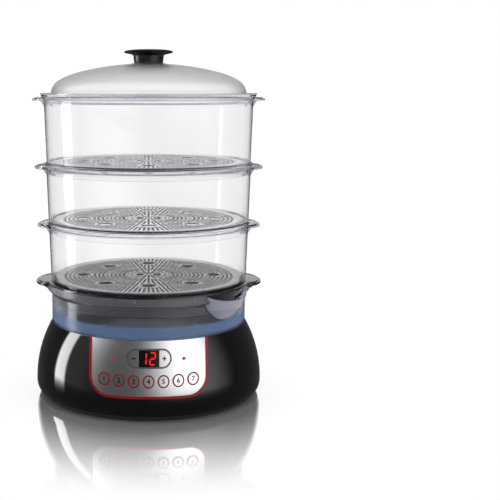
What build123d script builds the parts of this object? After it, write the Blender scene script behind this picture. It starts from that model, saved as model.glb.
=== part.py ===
"""Electric food steamer: a flared base with a control panel and a clear water tank,
a drip tray, a stack of three clear bowls with lift-out perforated floors, and a domed lid.

The frame has +Z up with z = 0 on the table, the axis of the stack on Z and the front at -Y.
"""
from build123d import *
import os
from math import cos, radians, sin, sqrt, tan

os.makedirs("parts", exist_ok=True)

# ---- Driving dimensions, in millimetres -------------------------------------------------

# Base housing, a drum that flares down to a belt
belt_r = 136.6
belt_z = 17.0
side_arc = 142.0
under_arc = 20.0
base_top = 89.2
base_bottom = 2.8
seam_z = 6.6
seam_gap = 0.3
housing_wall = 3.0
deck_t = 2.6
cover_t = 2.4
lip_t = 1.6
lip_h = 3.2
lip_gap = 0.2
lip_notch_l = 30.0
lip_notch_gap = 1.0
gland_notch = 20.0

# Screws and the posts that they go into
post_r = 4.5
post_ring = 107.0
post_angles = (60, 120, 240, 300)
rib_t = 2.0
screw_r = 1.4
pilot_gap = 0.06
clear_gap = 0.3
head_r = 3.0
head_t = 1.3
cover_screw_l = 16.0
pilot_spare = 1.0
small_pilot_spare = 0.5

# Rubber feet
foot_r = 9.0
foot_ring = 110.0
foot_pocket = 1.0
foot_gap = 0.2
foot_chamfer = 0.8

# Vents in the bottom cover
vent_count = 7
vent_pitch = 7.0
vent_w = 2.6
vent_l = 36.0
vent_y = -30.0

# Control panel, let into the front of the housing
panel_half = 66.5
panel_bottom = 28.0
panel_corner = 22.0
panel_t = 1.25
panel_top_gap = 0.4
trim_w = 2.6
trim_proud = 0.5
panel_fit = 0.05

# Display and the two time keys
display_w = 50.0
display_h = 20.4
display_x = 0.5
display_z = 71.0
bezel_w = 1.5
bezel_proud = 0.6
window_w = 22.2
window_proud = 0.3
window_t = 4.5
module_w = 20.0
module_h = 16.0
module_depth = 11.0

# Preset keys, in a row that bows up a little at its ends
preset_count = 7
preset_pitch = 16.5
preset_z = 46.8
preset_bow = 1.2
ring_rx = 6.5
ring_rz = 7.1
ring_w = 1.25
ring_proud = 0.6
key_gap = 0.25
key_proud = 0.4
key_depth = 6.0
key_flange = 1.3
flange_gap = 0.15
flange_t = 1.2
key_travel = 0.8
stem_r = 2.0

# Indicator lamps
lamp_x = 39.2
lamp_z = 70.0
lamp_r = 1.7
lamp_proud = 0.3

# Control board, upright behind the panel
board_depth = 32.6
board_t = 1.6
board_half = 54.0
board_neck = 38.0
board_low = 31.0
board_shoulder = 66.0
board_high = 80.0
boss_r = 3.2
boss_x = 46.0
boss_low_z = 35.0
boss_high_x = 30.0
boss_high_z = 76.5
board_screw_r = 1.0
board_screw_l = 5.0
board_head_r = 2.0
board_head_t = 1.2
switch_side = 6.0
switch_t = 3.5
plunger_r = 1.7
plunger_t = 1.4
plunger_gap = 0.15

# Water tank, with a basin that drops into the base
tank_out = 0.1
tank_wall = 2.4
tank_top = 136.6
collar_low = 124.0
collar_rise = 5.0
collar_out = 5.3
basin_inset = 21.0
basin_floor = 72.0
basin_gap = 0.4
retainer_w = 6.0
retainer_t = 2.6
retainer_slot = 6.0
groove_depth = 0.8
groove_gap = 0.05
lug_reach = 4.0
lug_half = 21.0
lug_t = 5.0

# Filling spout on the tank's right front
spout_angle = 48.5
spout_inset = 4.0
spout_low = 101.0
spout_reach = 20.0
spout_half = 36.0
spout_wall = 2.0
spout_lip = 128.5
spout_steps = ((0.0, 0.04), (0.22, 0.5), (0.5, 0.8), (1.0, 1.0))

# Heater under the basin
plate_hole = 58.0
plate_gap = 0.4
plate_flange_r = 76.0
plate_flange_t = 2.6
seal_t = 1.4
seal_w = 7.0
heater_screw_ring = 71.0
heater_screw_l = 5.2
heater_boss_r = 4.0
element_ring = 40.0
element_r = 4.0
element_gap = 0.05
element_sweep = 300.0
terminal_l = 12.0
thermostat_r = 8.5
thermostat_h = 8.0
tab_w = 5.0
tab_h = 7.0
tab_t = 0.8

# Power board on the bottom cover
power_y = 50.0
power_w = 80.0
power_d = 56.0
power_t = 1.6
standoff_h = 5.0
standoff_r = 3.2
standoff_inset = 5.0
transformer_x = -14.0
transformer_size = (30.0, 12.5, 22.0)
winding_size = (18.0, 25.0, 15.4)
relay_place = (20.0, -8.0)
relay_size = (19.0, 15.5, 15.0)
relay_chamfer = 1.0
capacitor_place = (20.0, 14.0)
capacitor_r = 6.3
capacitor_h = 14.0
capacitor_edge = 0.8

# Cord gland, low at the back
gland_z = 20.0
gland_bore = 3.3
gland_neck = 5.9
gland_collar = 8.8
gland_collar_t = 1.1
gland_flange_t = 1.8
gland_gap = 0.1

# Flat cable between the two boards
cable_w = 16.0
cable_t = 1.0
cable_lift = 2.0
cable_bend = 4.0
cable_start_up = 8.0
cable_out = 10.0
cable_end = 6.0

# Drip tray
tray_rim_t = 1.6
tray_gap = 0.4
tray_wall = 1.8
tray_floor = 113.0
tray_floor_t = 2.0
tray_rim_inset = 0.5
chimney_r = 34.0
chimney_top = 131.0
port_count = 8
port_w = 12.0
port_h = 8.0

# Bowls, each standing on the rim below: rim heights, growth over the tank at the foot, rim flares
bowl_rims = (209.6, 278.5, 358.0)
bowl_grows = (0.4, 2.7, 4.1)
bowl_flares = (2.0, 1.8, 3.0)
bowl_wall = 1.8
bowl_rim_w = 3.2
bowl_draft = 0.031
bowl_step = 1.6
flare_h = 5.5
skirt_gap = 0.35
skirt_depth = 12.5
ledge_w = 3.2
ledge_t = 1.5

# Grips, half ovals at both sides of a rim
grip_half = 34.0
grip_root = 6.0
grip_reach = 14.0
grip_t = 3.6
grip_plate_t = 1.4
grip_inset = 2.6
grip_drop = 3.0
tray_grip_t = 4.2
gusset_angle = 14.0
gusset_w = 5.0
gusset_h = 8.0
gusset_t = 2.0

# Lift-out perforated floors
floor_rises = (3.2, 1.2, 1.2)
floor_t = 1.8
floor_rims = (1.6, 4.0, 4.0)
floor_rim_w = 2.4
floor_gap = 0.4
cup_count = 8
cup_ring = 80.0
cup_top_r = 8.8
cup_low_r = 5.6
cup_depth = 5.0
slot_rings = ((24.0, 10, 12.0), (45.0, 16, 13.0), (63.0, 24, 9.0), (100.5, 32, 10.0))
slot_w = 3.0

# Lid
lid_flange_out = 6.2
lid_flange_t = 1.8
lid_wall = 2.0
dome_inset = 6.2
dome_lift = 0.5
corner_r = 18.7
corner_turn = 60.5
shoulder_r = 93.0
shoulder_turn = 15.1
lid_skirt_h = 6.0
lid_skirt_gap = 0.5
knob_seat_r = 19.0
knob_seat_t = 0.3
knob_boss_r = 7.0
knob_boss_t = 0.6
knob_stem_low = 17.0
knob_stem_high = 18.0
knob_neck_h = 9.3
knob_r = 28.8
knob_under_h = 2.6
knob_edge_t = 0.8
knob_crown = 3.9
knob_screw_r = 2.0
knob_screw_l = 13.0
knob_head_r = 5.0
knob_head_t = 2.2

# ---- Places that follow from the dimensions ----------------------------------------------

past = 1.0  # how far a cutter runs past a face
board_y = belt_r - board_depth
front_start = board_y - module_depth - past
front_reach = belt_r + 2 * trim_proud - front_start
tank_r = belt_r - side_arc + sqrt(side_arc ** 2 - (base_top - belt_z) ** 2) + tank_out
basin_r = tank_r - basin_inset
cover_top = base_bottom + cover_t
deck_low = base_top - deck_t
tray_top = tank_top + tray_rim_t
bowl_feet = (tray_top, bowl_rims[0], bowl_rims[1])
tank_inner = tank_r - tank_wall
collar_r = tank_r + collar_out
tray_r = tank_inner - tray_gap
tray_rim_r = collar_r - tray_rim_inset
bowl_radii = tuple(tank_r + grow for grow in bowl_grows)
lid_flange_r = bowl_radii[2] + lid_flange_out
dome_r = bowl_radii[2] - dome_inset
plate_low = basin_floor - seal_t - plate_flange_t
board_back = board_y - board_t
power_low = cover_top + standoff_h
power_top = power_low + power_t
bezel_in_h = display_h - 2 * bezel_w
bezel_in_w = display_w - 2 * bezel_w
stem_end = board_y + switch_t + plunger_t + key_travel + plunger_gap
lid_low = bowl_rims[2]
dome_low = lid_low + dome_lift
shoulder_centre = (dome_r - corner_r + (corner_r - shoulder_r) * cos(radians(corner_turn)),
                   dome_low + (corner_r - shoulder_r) * sin(radians(corner_turn)))
crown_r = shoulder_r + shoulder_centre[0] / cos(radians(corner_turn + shoulder_turn))
crown_z = shoulder_centre[1] - shoulder_centre[0] * tan(radians(corner_turn + shoulder_turn))
lid_top = crown_z + crown_r
lid_boss_low = lid_top - lid_wall - knob_boss_t


# ---- Small helpers -----------------------------------------------------------------------

def save(shape, node):
    """Write one sub-part to its own file."""
    export_step(shape, f"parts/{node}.step")
    return shape


def spin(*outline):
    """Turn a closed outline of (radius, height) points or edges about the stack's axis."""
    if isinstance(outline[0], tuple):
        outline = [Polyline(*outline, close=True)]
    return revolve(Plane.XZ * make_face(list(outline)), Axis.Z)


def tube(outer, inner, low, high):
    """Upright ring between two heights."""
    return spin((inner, low), (outer, low), (outer, high), (inner, high))


def post(x, y, low, high, radius):
    """Upright round bar between two heights."""
    return Pos(x, y, low) * extrude(Circle(radius), high - low)


def around(ring, degrees):
    """Point on a ring, at an angle counted from the front towards +X."""
    return ring * sin(radians(degrees)), -ring * cos(radians(degrees))


def front(sketch, start=front_start, reach=front_reach):
    """Run a front-view sketch of x and z back to front."""
    return extrude(Plane.XZ.offset(start) * sketch, reach)


def housing_r(z, offset=0.0):
    """Radius of the housing's outside at a height, moved out by an offset."""
    arc = side_arc if z >= belt_z else under_arc
    return belt_r - arc + sqrt((arc + offset) ** 2 - (z - belt_z) ** 2)


def housing_body(offset, low, high):
    """Solid within the housing's outside, moved out by an offset."""
    heights = [low, belt_z, high] if low < belt_z < high else [low, high]
    edges = []
    for a, b in zip(heights, heights[1:]):
        middle = (a + b) / 2
        edges.append(ThreePointArc(*((housing_r(z, offset), z) for z in (a, middle, b))))
    ends = ((housing_r(high, offset), high), (0, high), (0, low), (housing_r(low, offset), low))
    return spin(*edges, Polyline(*ends))


def skin(outer, inner, low=base_bottom, high=base_top):
    """Layer that follows the housing's outside between two offsets."""
    return housing_body(outer, low, high) - housing_body(inner, low, high)


def stadium(width, height):
    """Front-view oval of the display."""
    return Pos(display_x, display_z) * SlotOverall(width, height)


def side_of_window(side):
    """Half plane beside the window, on the side of one time key."""
    inner = window_w / 2 + key_gap
    return Pos(display_x + side * (inner + display_w / 2), display_z) * Rectangle(display_w, display_h * 2)


def panel_outline(inset):
    """Front view of the panel: straight sides and top, round lower corners."""
    low = panel_bottom + inset
    high = base_top + panel_corner
    box = Pos(0, (low + high) / 2) * Rectangle(2 * (panel_half - inset), high - low)
    return fillet(box.vertices().group_by(Axis.Y)[0], panel_corner - inset)


def preset_places():
    """Centres of the preset keys, left to right."""
    last = (preset_count - 1) / 2
    for i in range(preset_count):
        step = i - last
        yield step * preset_pitch, preset_z + preset_bow * (step / last) ** 2


def preset_ovals(grow):
    """Front view of all the preset keys' ovals, grown from a ring's outside."""
    ovals = [Pos(x, z) * Ellipse(ring_rx + grow, ring_rz + grow) for x, z in preset_places()]
    return Sketch() + ovals


def boss_places():
    """Front-view centres of the control board's screws."""
    return [(side * x, z) for x, z in ((boss_x, boss_low_z), (boss_high_x, boss_high_z)) for side in (-1, 1)]


def grips(wall_r, top, thickness):
    """Two half-oval grips with a stepped edge, to be joined to a wall."""
    low = top - thickness
    shape = Part()
    for side in (-1, 1):
        centre = Pos(side * (wall_r - grip_root), 0, 0)
        lip = extrude(Ellipse(grip_root + grip_reach, grip_half), thickness - grip_plate_t)
        plate = extrude(Ellipse(grip_root + grip_reach - grip_inset, grip_half - grip_inset), grip_plate_t)
        shape += centre * Pos(0, 0, low) * lip
        shape += centre * Pos(0, 0, top - grip_plate_t) * plate
    return shape


def gussets(wall_r, high):
    """Four small webs that prop the ends of two grips."""
    root = wall_r - bowl_wall / 2
    web = extrude(Plane.XZ * make_face(Polyline(
        (root, high), (wall_r + gusset_w, high), (wall_r, high - gusset_h), (root, high - gusset_h),
        close=True)), gusset_t / 2, both=True)
    shape = Part()
    for turn in (gusset_angle, -gusset_angle, 180 - gusset_angle, 180 + gusset_angle):
        shape += Rot(0, 0, turn) * web
    return shape


# ---- Base: housing, cover, feet, fasteners -----------------------------------------------

def base_shell():
    """Glossy housing with its deck, screw posts, board bosses and openings."""
    low = seam_z + seam_gap
    shell = skin(0, -housing_wall, low, base_top)
    recess = front(panel_outline(-panel_fit)) & skin(housing_wall, -panel_t, low, base_top)
    shell -= recess
    shell -= front(stadium(bezel_in_w, bezel_in_h))
    shell -= front(preset_ovals(-ring_w))
    for side in (-1, 1):
        shell -= front(Pos(side * lamp_x, lamp_z) * Circle(lamp_r + panel_fit))
    inside = housing_body(-housing_wall / 2, cover_top, base_top)
    deck = housing_body(-housing_wall / 2, deck_low, base_top)
    shell += deck - post(0, 0, 0, base_top, basin_r + basin_gap)
    for angle in post_angles:
        x, y = around(post_ring, angle)
        reach = belt_r - post_ring
        rib = Pos(post_ring + reach / 2, 0, (low + base_top) / 2) * Box(reach, rib_t, base_top - low)
        shell += Rot(0, 0, angle - 90) * rib & housing_body(-housing_wall / 2, low, base_top)
        shell += post(x, y, cover_top, base_top - deck_t / 2, post_r)
        shell -= post(x, y, cover_top, cover_top + cover_screw_l, screw_r + pilot_gap)
    for x, z in boss_places():
        boss = front(Pos(x, z) * Circle(boss_r), board_y) & inside
        shell += boss - front(Pos(x, z) * Circle(board_screw_r + pilot_gap), board_y, board_screw_l)
    neck = Pos(0, 0, gland_z) * Rot(-90, 0, 0) * extrude(Circle(gland_neck + gland_gap), belt_r)
    collar = Pos(0, belt_r - gland_collar_t - gland_gap, gland_z) * Rot(-90, 0, 0)
    shell -= neck
    shell -= collar * extrude(Circle(gland_collar + gland_gap), belt_r)
    return shell


def foot_places():
    return [around(foot_ring, 45 + 90 * i) for i in range(4)]


def standoff_places():
    dx = power_w / 2 - standoff_inset
    dy = power_d / 2 - standoff_inset
    return [(sx * dx, power_y + sy * dy) for sx in (-1, 1) for sy in (-1, 1)]


def bottom_cover():
    """Dished bottom with a locating lip, foot pockets, counterbores, vents and standoffs."""
    cover = housing_body(0, base_bottom, seam_z) - housing_body(-housing_wall, cover_top, seam_z)
    lip = skin(-housing_wall - lip_gap, -housing_wall - lip_gap - lip_t, cover_top, seam_z + lip_h)
    for angle in post_angles:
        lip -= Rot(0, 0, angle - 90) * Pos(belt_r, 0, seam_z) * Box(
            lip_notch_l, rib_t + 2 * lip_notch_gap, 4 * lip_h)
    boss_clear = Pos(0, belt_r, gland_z) * Box(4 * gland_collar, gland_notch, gland_z)
    cover += lip - boss_clear
    for x, y in foot_places():
        cover -= post(x, y, base_bottom, base_bottom + foot_pocket, foot_r + foot_gap)
    for angle in post_angles:
        x, y = around(post_ring, angle)
        cover -= post(x, y, base_bottom, base_bottom + head_t, head_r + clear_gap)
        cover -= post(x, y, base_bottom, cover_top, screw_r + clear_gap)
    for i in range(vent_count):
        x = (i - (vent_count - 1) / 2) * vent_pitch
        cover -= Pos(x, vent_y, base_bottom) * extrude(Rectangle(vent_w, vent_l), cover_t)
    for x, y in standoff_places():
        cover += post(x, y, cover_top, power_low, standoff_r)
        cover -= post(x, y, base_bottom + cover_t / 2, power_low, board_screw_r + pilot_gap)
    return cover


def rubber_feet():
    """Four pads, a little narrower where they meet the table."""
    height = base_bottom + foot_pocket
    pad = extrude(Circle(foot_r), height)
    pad = chamfer(pad.edges().group_by(Axis.Z)[0], foot_chamfer)
    return [Pos(x, y, 0) * pad for x, y in foot_places()]


def screw(shank_r, shank_l, cap_r, cap_t):
    """Screw that points up, with the underside of its head at the origin."""
    shank = extrude(Circle(shank_r), shank_l)
    head = Pos(0, 0, -cap_t) * extrude(Circle(cap_r), cap_t)
    return head + shank


def cover_screws():
    one = screw(screw_r, cover_screw_l - pilot_spare, head_r, head_t)
    return [Pos(*around(post_ring, a), base_bottom + head_t) * one for a in post_angles]


# ---- Base: control panel ------------------------------------------------------------------

def control_panel():
    """Brushed sheet that follows the housing, with openings for what shows through it."""
    outline = panel_outline(trim_w + panel_fit)
    outline -= stadium(display_w + 2 * panel_fit, display_h + 2 * panel_fit)
    outline -= preset_ovals(panel_fit)
    for side in (-1, 1):
        outline -= Pos(side * lamp_x, lamp_z) * Circle(lamp_r + panel_fit)
    return front(outline) & skin(0, -panel_t, belt_z, base_top - panel_top_gap)


def panel_trim():
    """Red strip round the sides and bottom of the panel."""
    outline = panel_outline(0) - panel_outline(trim_w)
    return front(outline) & skin(trim_proud, -panel_t, belt_z, base_top - panel_top_gap)


def display_bezel():
    outline = stadium(display_w, display_h) - stadium(bezel_in_w, bezel_in_h)
    return front(outline) & skin(bezel_proud, -panel_t, belt_z, base_top)


def display_window():
    outline = Pos(display_x, display_z) * Rectangle(window_w, bezel_in_h)
    return front(outline) & skin(window_proud, -window_t, belt_z, base_top)


def display_module():
    outline = Pos(display_x, display_z) * Rectangle(module_w, module_h)
    return front(outline, board_y, module_depth)


def button_rings():
    outline = preset_ovals(0) - preset_ovals(-ring_w)
    return front(outline) & skin(ring_proud, -panel_t, belt_z, base_top)


def indicator_lamps():
    """Two light pipes from the control board to the panel's face."""
    pipes = Sketch() + [Pos(side * lamp_x, lamp_z) * Circle(lamp_r) for side in (-1, 1)]
    return front(pipes, board_y) & housing_body(lamp_proud, belt_z, base_top)


def control_board():
    corners = ((-board_half, board_low), (board_half, board_low), (board_half, board_shoulder),
               (board_neck, board_high), (-board_neck, board_high), (-board_half, board_shoulder))
    outline = make_face(Polyline(*corners, close=True))
    for x, z in boss_places():
        outline -= Pos(x, z) * Circle(board_screw_r + clear_gap)
    return front(outline, board_back, board_t)


def board_screws():
    length = board_t + board_screw_l - small_pilot_spare
    one = Rot(90, 0, 0) * screw(board_screw_r, length, board_head_r, board_head_t)
    return [Pos(x, -board_back, z) * one for x, z in boss_places()]


def key_places():
    """Front-view centres of all nine keys' switches."""
    time_x = (window_w / 2 + bezel_in_w / 2) / 2
    return [(display_x - time_x, display_z), (display_x + time_x, display_z)] + list(preset_places())


def button_switches():
    """Small square switches on the front of the board, each with its plunger."""
    bodies = []
    for x, z in key_places():
        body = front(Pos(x, z) * Rectangle(switch_side, switch_side), board_y, switch_t)
        bodies.append(body + front(Pos(x, z) * Circle(plunger_r), board_y + switch_t, plunger_t))
    return bodies


def key(face, flange, x, z):
    """Key cap that follows the housing, its retaining flange and its stem."""
    cap = front(face) & skin(key_proud, -key_depth, belt_z, base_top)
    inner = -housing_wall - flange_gap
    cap += front(flange) & skin(inner, inner - flange_t, belt_z, base_top)
    stem = front(Pos(x, z) * Circle(stem_r), stem_end) & housing_body(-housing_wall, belt_z, base_top)
    return cap + stem


def time_key(side):
    """Half-oval key at one side of the window."""
    x, z = key_places()[0 if side < 0 else 1]
    beside = side_of_window(side)
    face = stadium(bezel_in_w - 2 * key_gap, bezel_in_h - 2 * key_gap) & beside
    flange = stadium(bezel_in_w + key_flange, bezel_in_h + key_flange) & beside
    return key(face, flange, x, z)


def preset_key(x, z):
    place = Pos(x, z)
    face = place * Ellipse(ring_rx - ring_w - key_gap, ring_rz - ring_w - key_gap)
    flange = place * Ellipse(ring_rx - ring_w + key_flange, ring_rz - ring_w + key_flange)
    return key(face, flange, x, z)


# ---- Base: tank, heater and electrics -------------------------------------------------------

def spout_form(shrink):
    """Scoop that swells from a point on the wall to its widest at the tank's top."""
    x, y = around(1, spout_angle)
    half = spout_half - shrink
    reach = spout_inset + spout_reach - shrink
    centre = tank_r - spout_inset
    sections = []
    for rise, size in spout_steps:
        z = spout_low + shrink + (tank_top - spout_low) * rise
        plane = Plane(origin=(x * centre, y * centre, z), x_dir=(x, y, 0), z_dir=(0, 0, 1))
        sections.append(plane * Ellipse(reach * size, half * size))
    return loft(sections)


def above_lip():
    """Wedge that is cut away above the spout's sloping lip."""
    far = tank_r + 2 * spout_reach
    near = collar_r - tank_wall
    slope = (tank_top - spout_lip) / (tank_r + spout_reach - near)
    outline = Polyline((near, tank_top), (far, tank_top - slope * (far - near)),
                       (far, tank_top + spout_reach), (near, tank_top + spout_reach), close=True)
    wedge = extrude(Plane.XZ * make_face(outline), 2 * spout_half, both=True)
    return Rot(0, 0, spout_angle - 90) * wedge


def water_tank():
    """Clear tank: basin, shelf, wall, flared collar, side lugs and filling spout."""
    shelf = base_top + tank_wall
    collar_high = collar_low + collar_rise
    outline = (
        (plate_hole, basin_floor), (basin_r, basin_floor), (basin_r, base_top), (tank_r, base_top),
        (tank_r, collar_low), (collar_r, collar_high), (collar_r, tank_top),
        (collar_r - tank_wall, tank_top), (collar_r - tank_wall, collar_high + tank_wall / 2),
        (tank_inner, collar_low + tank_wall / 2), (tank_inner, shelf), (basin_r - tank_wall, shelf),
        (basin_r - tank_wall, basin_floor + tank_wall), (plate_hole, basin_floor + tank_wall))
    tank = spin(*outline)
    lugs = Part()
    for side in (-1, 1):
        oval = extrude(Ellipse(grip_root + lug_reach, lug_half), lug_t)
        lugs += Pos(side * (collar_r - grip_root), 0, tank_top - tray_grip_t - lug_t + tray_rim_t) * oval
    tank += lugs - post(0, 0, 0, tank_top, collar_r - tank_wall / 2)
    scoop = spout_form(0) - post(0, 0, 0, tank_top, tank_r - tank_wall / 2)
    tank += scoop
    tank -= spout_form(spout_wall) & tube(tank_r + 2 * spout_reach, tank_inner - past, spout_low, tank_top + past)
    tank -= above_lip()
    groove_low = deck_low - retainer_t - groove_gap
    tank -= tube(basin_r + past, basin_r - groove_depth, groove_low, deck_low)
    for angle in (0, 120, 240):
        x, y = around(heater_screw_ring, angle)
        tank += post(x, y, basin_floor - seal_t, basin_floor, heater_boss_r)
        tank -= post(x, y, basin_floor - seal_t, basin_floor + tank_wall / 2, screw_r + pilot_gap)
    return tank


def tank_retainer():
    """Split ring under the deck that locks the basin's groove."""
    ring = tube(basin_r + retainer_w, basin_r - groove_depth + groove_gap, deck_low - retainer_t, deck_low)
    return ring - Pos(0, basin_r, deck_low) * Box(retainer_slot, 4 * retainer_w, 4 * retainer_t)


def heater_plate():
    """Steel plate that closes the basin's floor, with a flange below the seal."""
    top = basin_floor + tank_wall
    flange_top = plate_low + plate_flange_t
    raised = plate_hole - plate_gap
    plate = spin((0, plate_low), (plate_flange_r, plate_low), (plate_flange_r, flange_top),
                 (raised, flange_top), (raised, top), (0, top))
    for angle in (0, 120, 240):
        x, y = around(heater_screw_ring, angle)
        plate -= post(x, y, plate_low, flange_top, screw_r + clear_gap)
    return plate


def heater_seal():
    return tube(plate_hole + seal_w, plate_hole, basin_floor - seal_t, basin_floor)


def heater_screws():
    one = screw(screw_r, heater_screw_l - small_pilot_spare, head_r, head_t)
    return [Pos(*around(heater_screw_ring, a), plate_low) * one for a in (0, 120, 240)]


def heater_element():
    """Bent tubular element under the plate, its two ends turned down."""
    centre_z = plate_low - element_r - element_gap
    bend = revolve(Plane.XZ * Pos(element_ring, centre_z) * Circle(element_r), Axis.Z, element_sweep)
    for end in (0, element_sweep):
        bend += Rot(0, 0, end) * post(element_ring, 0, centre_z - terminal_l, centre_z, element_r)
    return Rot(0, 0, 90 + (360 - element_sweep) / 2) * bend


def thermostat():
    """Round thermal switch on the plate's underside, with two tabs."""
    body = post(0, 0, plate_low - thermostat_h, plate_low, thermostat_r)
    for side in (-1, 1):
        tab = Box(tab_w, tab_t, tab_h)
        body += Pos(0, side * thermostat_r / 2, plate_low - thermostat_h - tab_h / 2) * tab
    return body


def power_board():
    board = Pos(0, power_y, power_low) * extrude(Rectangle(power_w, power_d), power_t)
    for x, y in standoff_places():
        board -= post(x, y, power_low, power_top, board_screw_r + clear_gap)
    return board


def power_board_screws():
    one = Rot(180, 0, 0) * screw(board_screw_r, board_screw_l, board_head_r, board_head_t)
    return [Pos(x, y, power_top) * one for x, y in standoff_places()]


def on_power_board(x, y, size):
    """Block that stands on the power board."""
    return Pos(x, y, power_top) * extrude(Rectangle(size[0], size[1]), size[2])


def transformer():
    """Small mains transformer: its iron core and the winding that shows round it."""
    core = on_power_board(transformer_x, power_y, transformer_size)
    return core + on_power_board(transformer_x, power_y, winding_size)


def relay():
    x, y = relay_place
    block = on_power_board(x, power_y + y, relay_size)
    return chamfer(block.edges().group_by(Axis.Z)[-1], relay_chamfer)


def capacitor():
    x, y = capacitor_place
    can = post(x, power_y + y, power_top, power_top + capacitor_h, capacitor_r)
    return fillet(can.edges().group_by(Axis.Z)[-1], capacitor_edge)


def cord_gland():
    """Bushing through the rear wall: flush collar, neck and an inner flange."""
    outer = belt_r
    seat = outer - gland_collar_t
    back = belt_r - housing_wall - gland_flange_t
    place = Pos(0, 0, gland_z) * Rot(-90, 0, 0)
    neck = Pos(0, 0, back) * extrude(Circle(gland_neck) - Circle(gland_bore), outer - back)
    collar = Pos(0, 0, seat) * extrude(Circle(gland_collar) - Circle(gland_bore), gland_collar_t)
    flange = Pos(0, 0, back) * extrude(Circle(gland_collar) - Circle(gland_bore), gland_flange_t)
    bushing = place * (neck + collar) & housing_body(0, seam_z, base_top)
    return bushing + (place * flange & housing_body(-housing_wall - gland_gap, seam_z, base_top))


def ribbon_cable():
    """Flat cable from the control board down and back to the power board."""
    run_z = cover_top + cable_lift
    start_y = -board_back
    end_y = power_y - power_d / 2
    start_z = board_low + cable_start_up
    end_z = power_top + cable_t
    path = FilletPolyline((0, start_y, start_z), (0, start_y + cable_out, start_z),
                          (0, start_y + cable_out, run_z), (0, end_y - cable_out, run_z),
                          (0, end_y - cable_out, end_z), (0, end_y + cable_end, end_z), radius=cable_bend)
    section = Plane(origin=path @ 0, z_dir=path % 0, x_dir=(1, 0, 0)) * Rectangle(cable_w, cable_t)
    return sweep(section, path)


# ---- Stack: drip tray, bowls, floors and lid ------------------------------------------------

def drip_tray():
    """Smoked tray inside the tank: a channel round a capped steam chimney, and two grips."""
    inner = tray_r - tray_wall
    outline = (
        (chimney_r, tray_floor), (tray_r, tray_floor), (tray_r, tank_top), (tray_rim_r, tank_top),
        (tray_rim_r, tray_top), (inner, tray_top), (inner, tray_floor + tray_floor_t),
        (chimney_r, tray_floor + tray_floor_t))
    tray = spin(*outline)
    tray += tube(chimney_r, chimney_r - tray_wall, tray_floor, chimney_top)
    tray += post(0, 0, chimney_top, chimney_top + tray_floor_t, chimney_r)
    port = Pos(chimney_r, 0, chimney_top - port_h / 2) * Box(4 * tray_wall, port_w, port_h)
    for i in range(port_count):
        tray -= Rot(0, 0, i * 360 / port_count) * port
    grip = grips(tray_rim_r, tray_top, tray_grip_t)
    grip -= post(0, 0, 0, tank_top, collar_r + tray_gap)
    tray += grip - post(0, 0, 0, tray_top, tray_rim_r - tray_wall)
    return tray


def bowl_outer(k, z):
    """Outside radius of a bowl's wall below its flare."""
    return bowl_radii[k] + (z - bowl_feet[k]) * bowl_draft


def skirt_top_r(k):
    """Outside radius of a bowl's skirt where it enters the piece below."""
    if k == 0:
        return tray_r - tray_wall - skirt_gap
    return bowl_outer(k - 1, bowl_rims[k - 1] - flare_h) - bowl_wall - skirt_gap


def floor_seat(k):
    """Height of the ledge or step that a floor lies on."""
    return bowl_feet[k] + floor_rises[k] - floor_rims[k]


def bowl(k):
    """Clear bowl: flared rim, drafted wall, step, skirt, floor ledge, grips and gussets."""
    foot = bowl_feet[k]
    rim = bowl_rims[k]
    skirt_low = foot - skirt_depth
    skirt_r = skirt_top_r(k)
    skirt_low_r = skirt_r - skirt_depth * bowl_draft
    bend = rim - flare_h
    wall_bend = bowl_outer(k, bend)
    rim_r = bowl_outer(k, rim) + bowl_flares[k]
    outline = (
        (skirt_low_r, skirt_low), (skirt_r, foot), (bowl_radii[k], foot), (wall_bend, bend),
        (rim_r, rim - bowl_wall), (rim_r, rim), (rim_r - bowl_rim_w, rim),
        (wall_bend - bowl_wall, bend), (bowl_radii[k] - bowl_wall, foot + bowl_step),
        (skirt_r - bowl_wall, foot + bowl_step), (skirt_low_r - bowl_wall, skirt_low))
    shape = spin(*outline)
    seat = floor_seat(k)
    if k > 0:
        root = skirt_r - skirt_depth * bowl_draft - bowl_wall / 2
        shape += tube(root, skirt_r - bowl_wall - ledge_w, seat - ledge_t, seat)
    grip_top = rim - grip_drop
    grip = grips(bowl_outer(k, grip_top), grip_top, grip_t)
    grip += gussets(bowl_outer(k, grip_top), grip_top - grip_t)
    inner = bowl_outer(k, grip_top - grip_t - gusset_h) - bowl_wall / 2
    shape += grip - post(0, 0, 0, rim, inner)
    return shape


def slots():
    """Rings of steam slots, each ring (radius, count, length)."""
    cutters = []
    for ring, count, length in slot_rings:
        bar = Pos(ring, 0) * Rectangle(length, slot_w)
        cutters += [Rot(0, 0, i * 360 / count) * bar for i in range(count)]
    return Sketch() + cutters


def floor(k):
    """Lift-out floor: a perforated disc with a hanging rim and a ring of egg cups."""
    top = bowl_feet[k] + floor_rises[k]
    if k == 0:
        radius = bowl_radii[k] - bowl_wall - floor_gap
    else:
        radius = skirt_top_r(k) - skirt_depth * bowl_draft - bowl_wall - floor_gap
    low = top - floor_rims[k]
    sheet = min(floor_t, floor_rims[k])
    disc = extrude(Circle(radius) - slots(), sheet)
    shape = Pos(0, 0, top - sheet) * disc
    if floor_rims[k] > sheet:
        shape += tube(radius, radius - floor_rim_w, low, top)
    for i in range(cup_count):
        x, y = around(cup_ring, i * 360 / cup_count)
        cup = Pos(x, y, top) * Rot(180, 0, 0) * cup_form(0)
        hollow = Pos(x, y, top) * Rot(180, 0, 0) * cup_form(sheet)
        shape = shape + cup - hollow
    return shape


def cup_form(wall):
    """Egg cup, mouth at the origin, as a plug or as the hollow inside it."""
    depth = cup_depth + floor_t - wall
    mouth = cup_top_r - wall / 2
    base = cup_low_r - wall / 2
    return revolve(Plane.XZ * make_face(Polyline(
        (0, 0), (mouth, 0), (base, depth), (0, depth), close=True)), Axis.Z)


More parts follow.
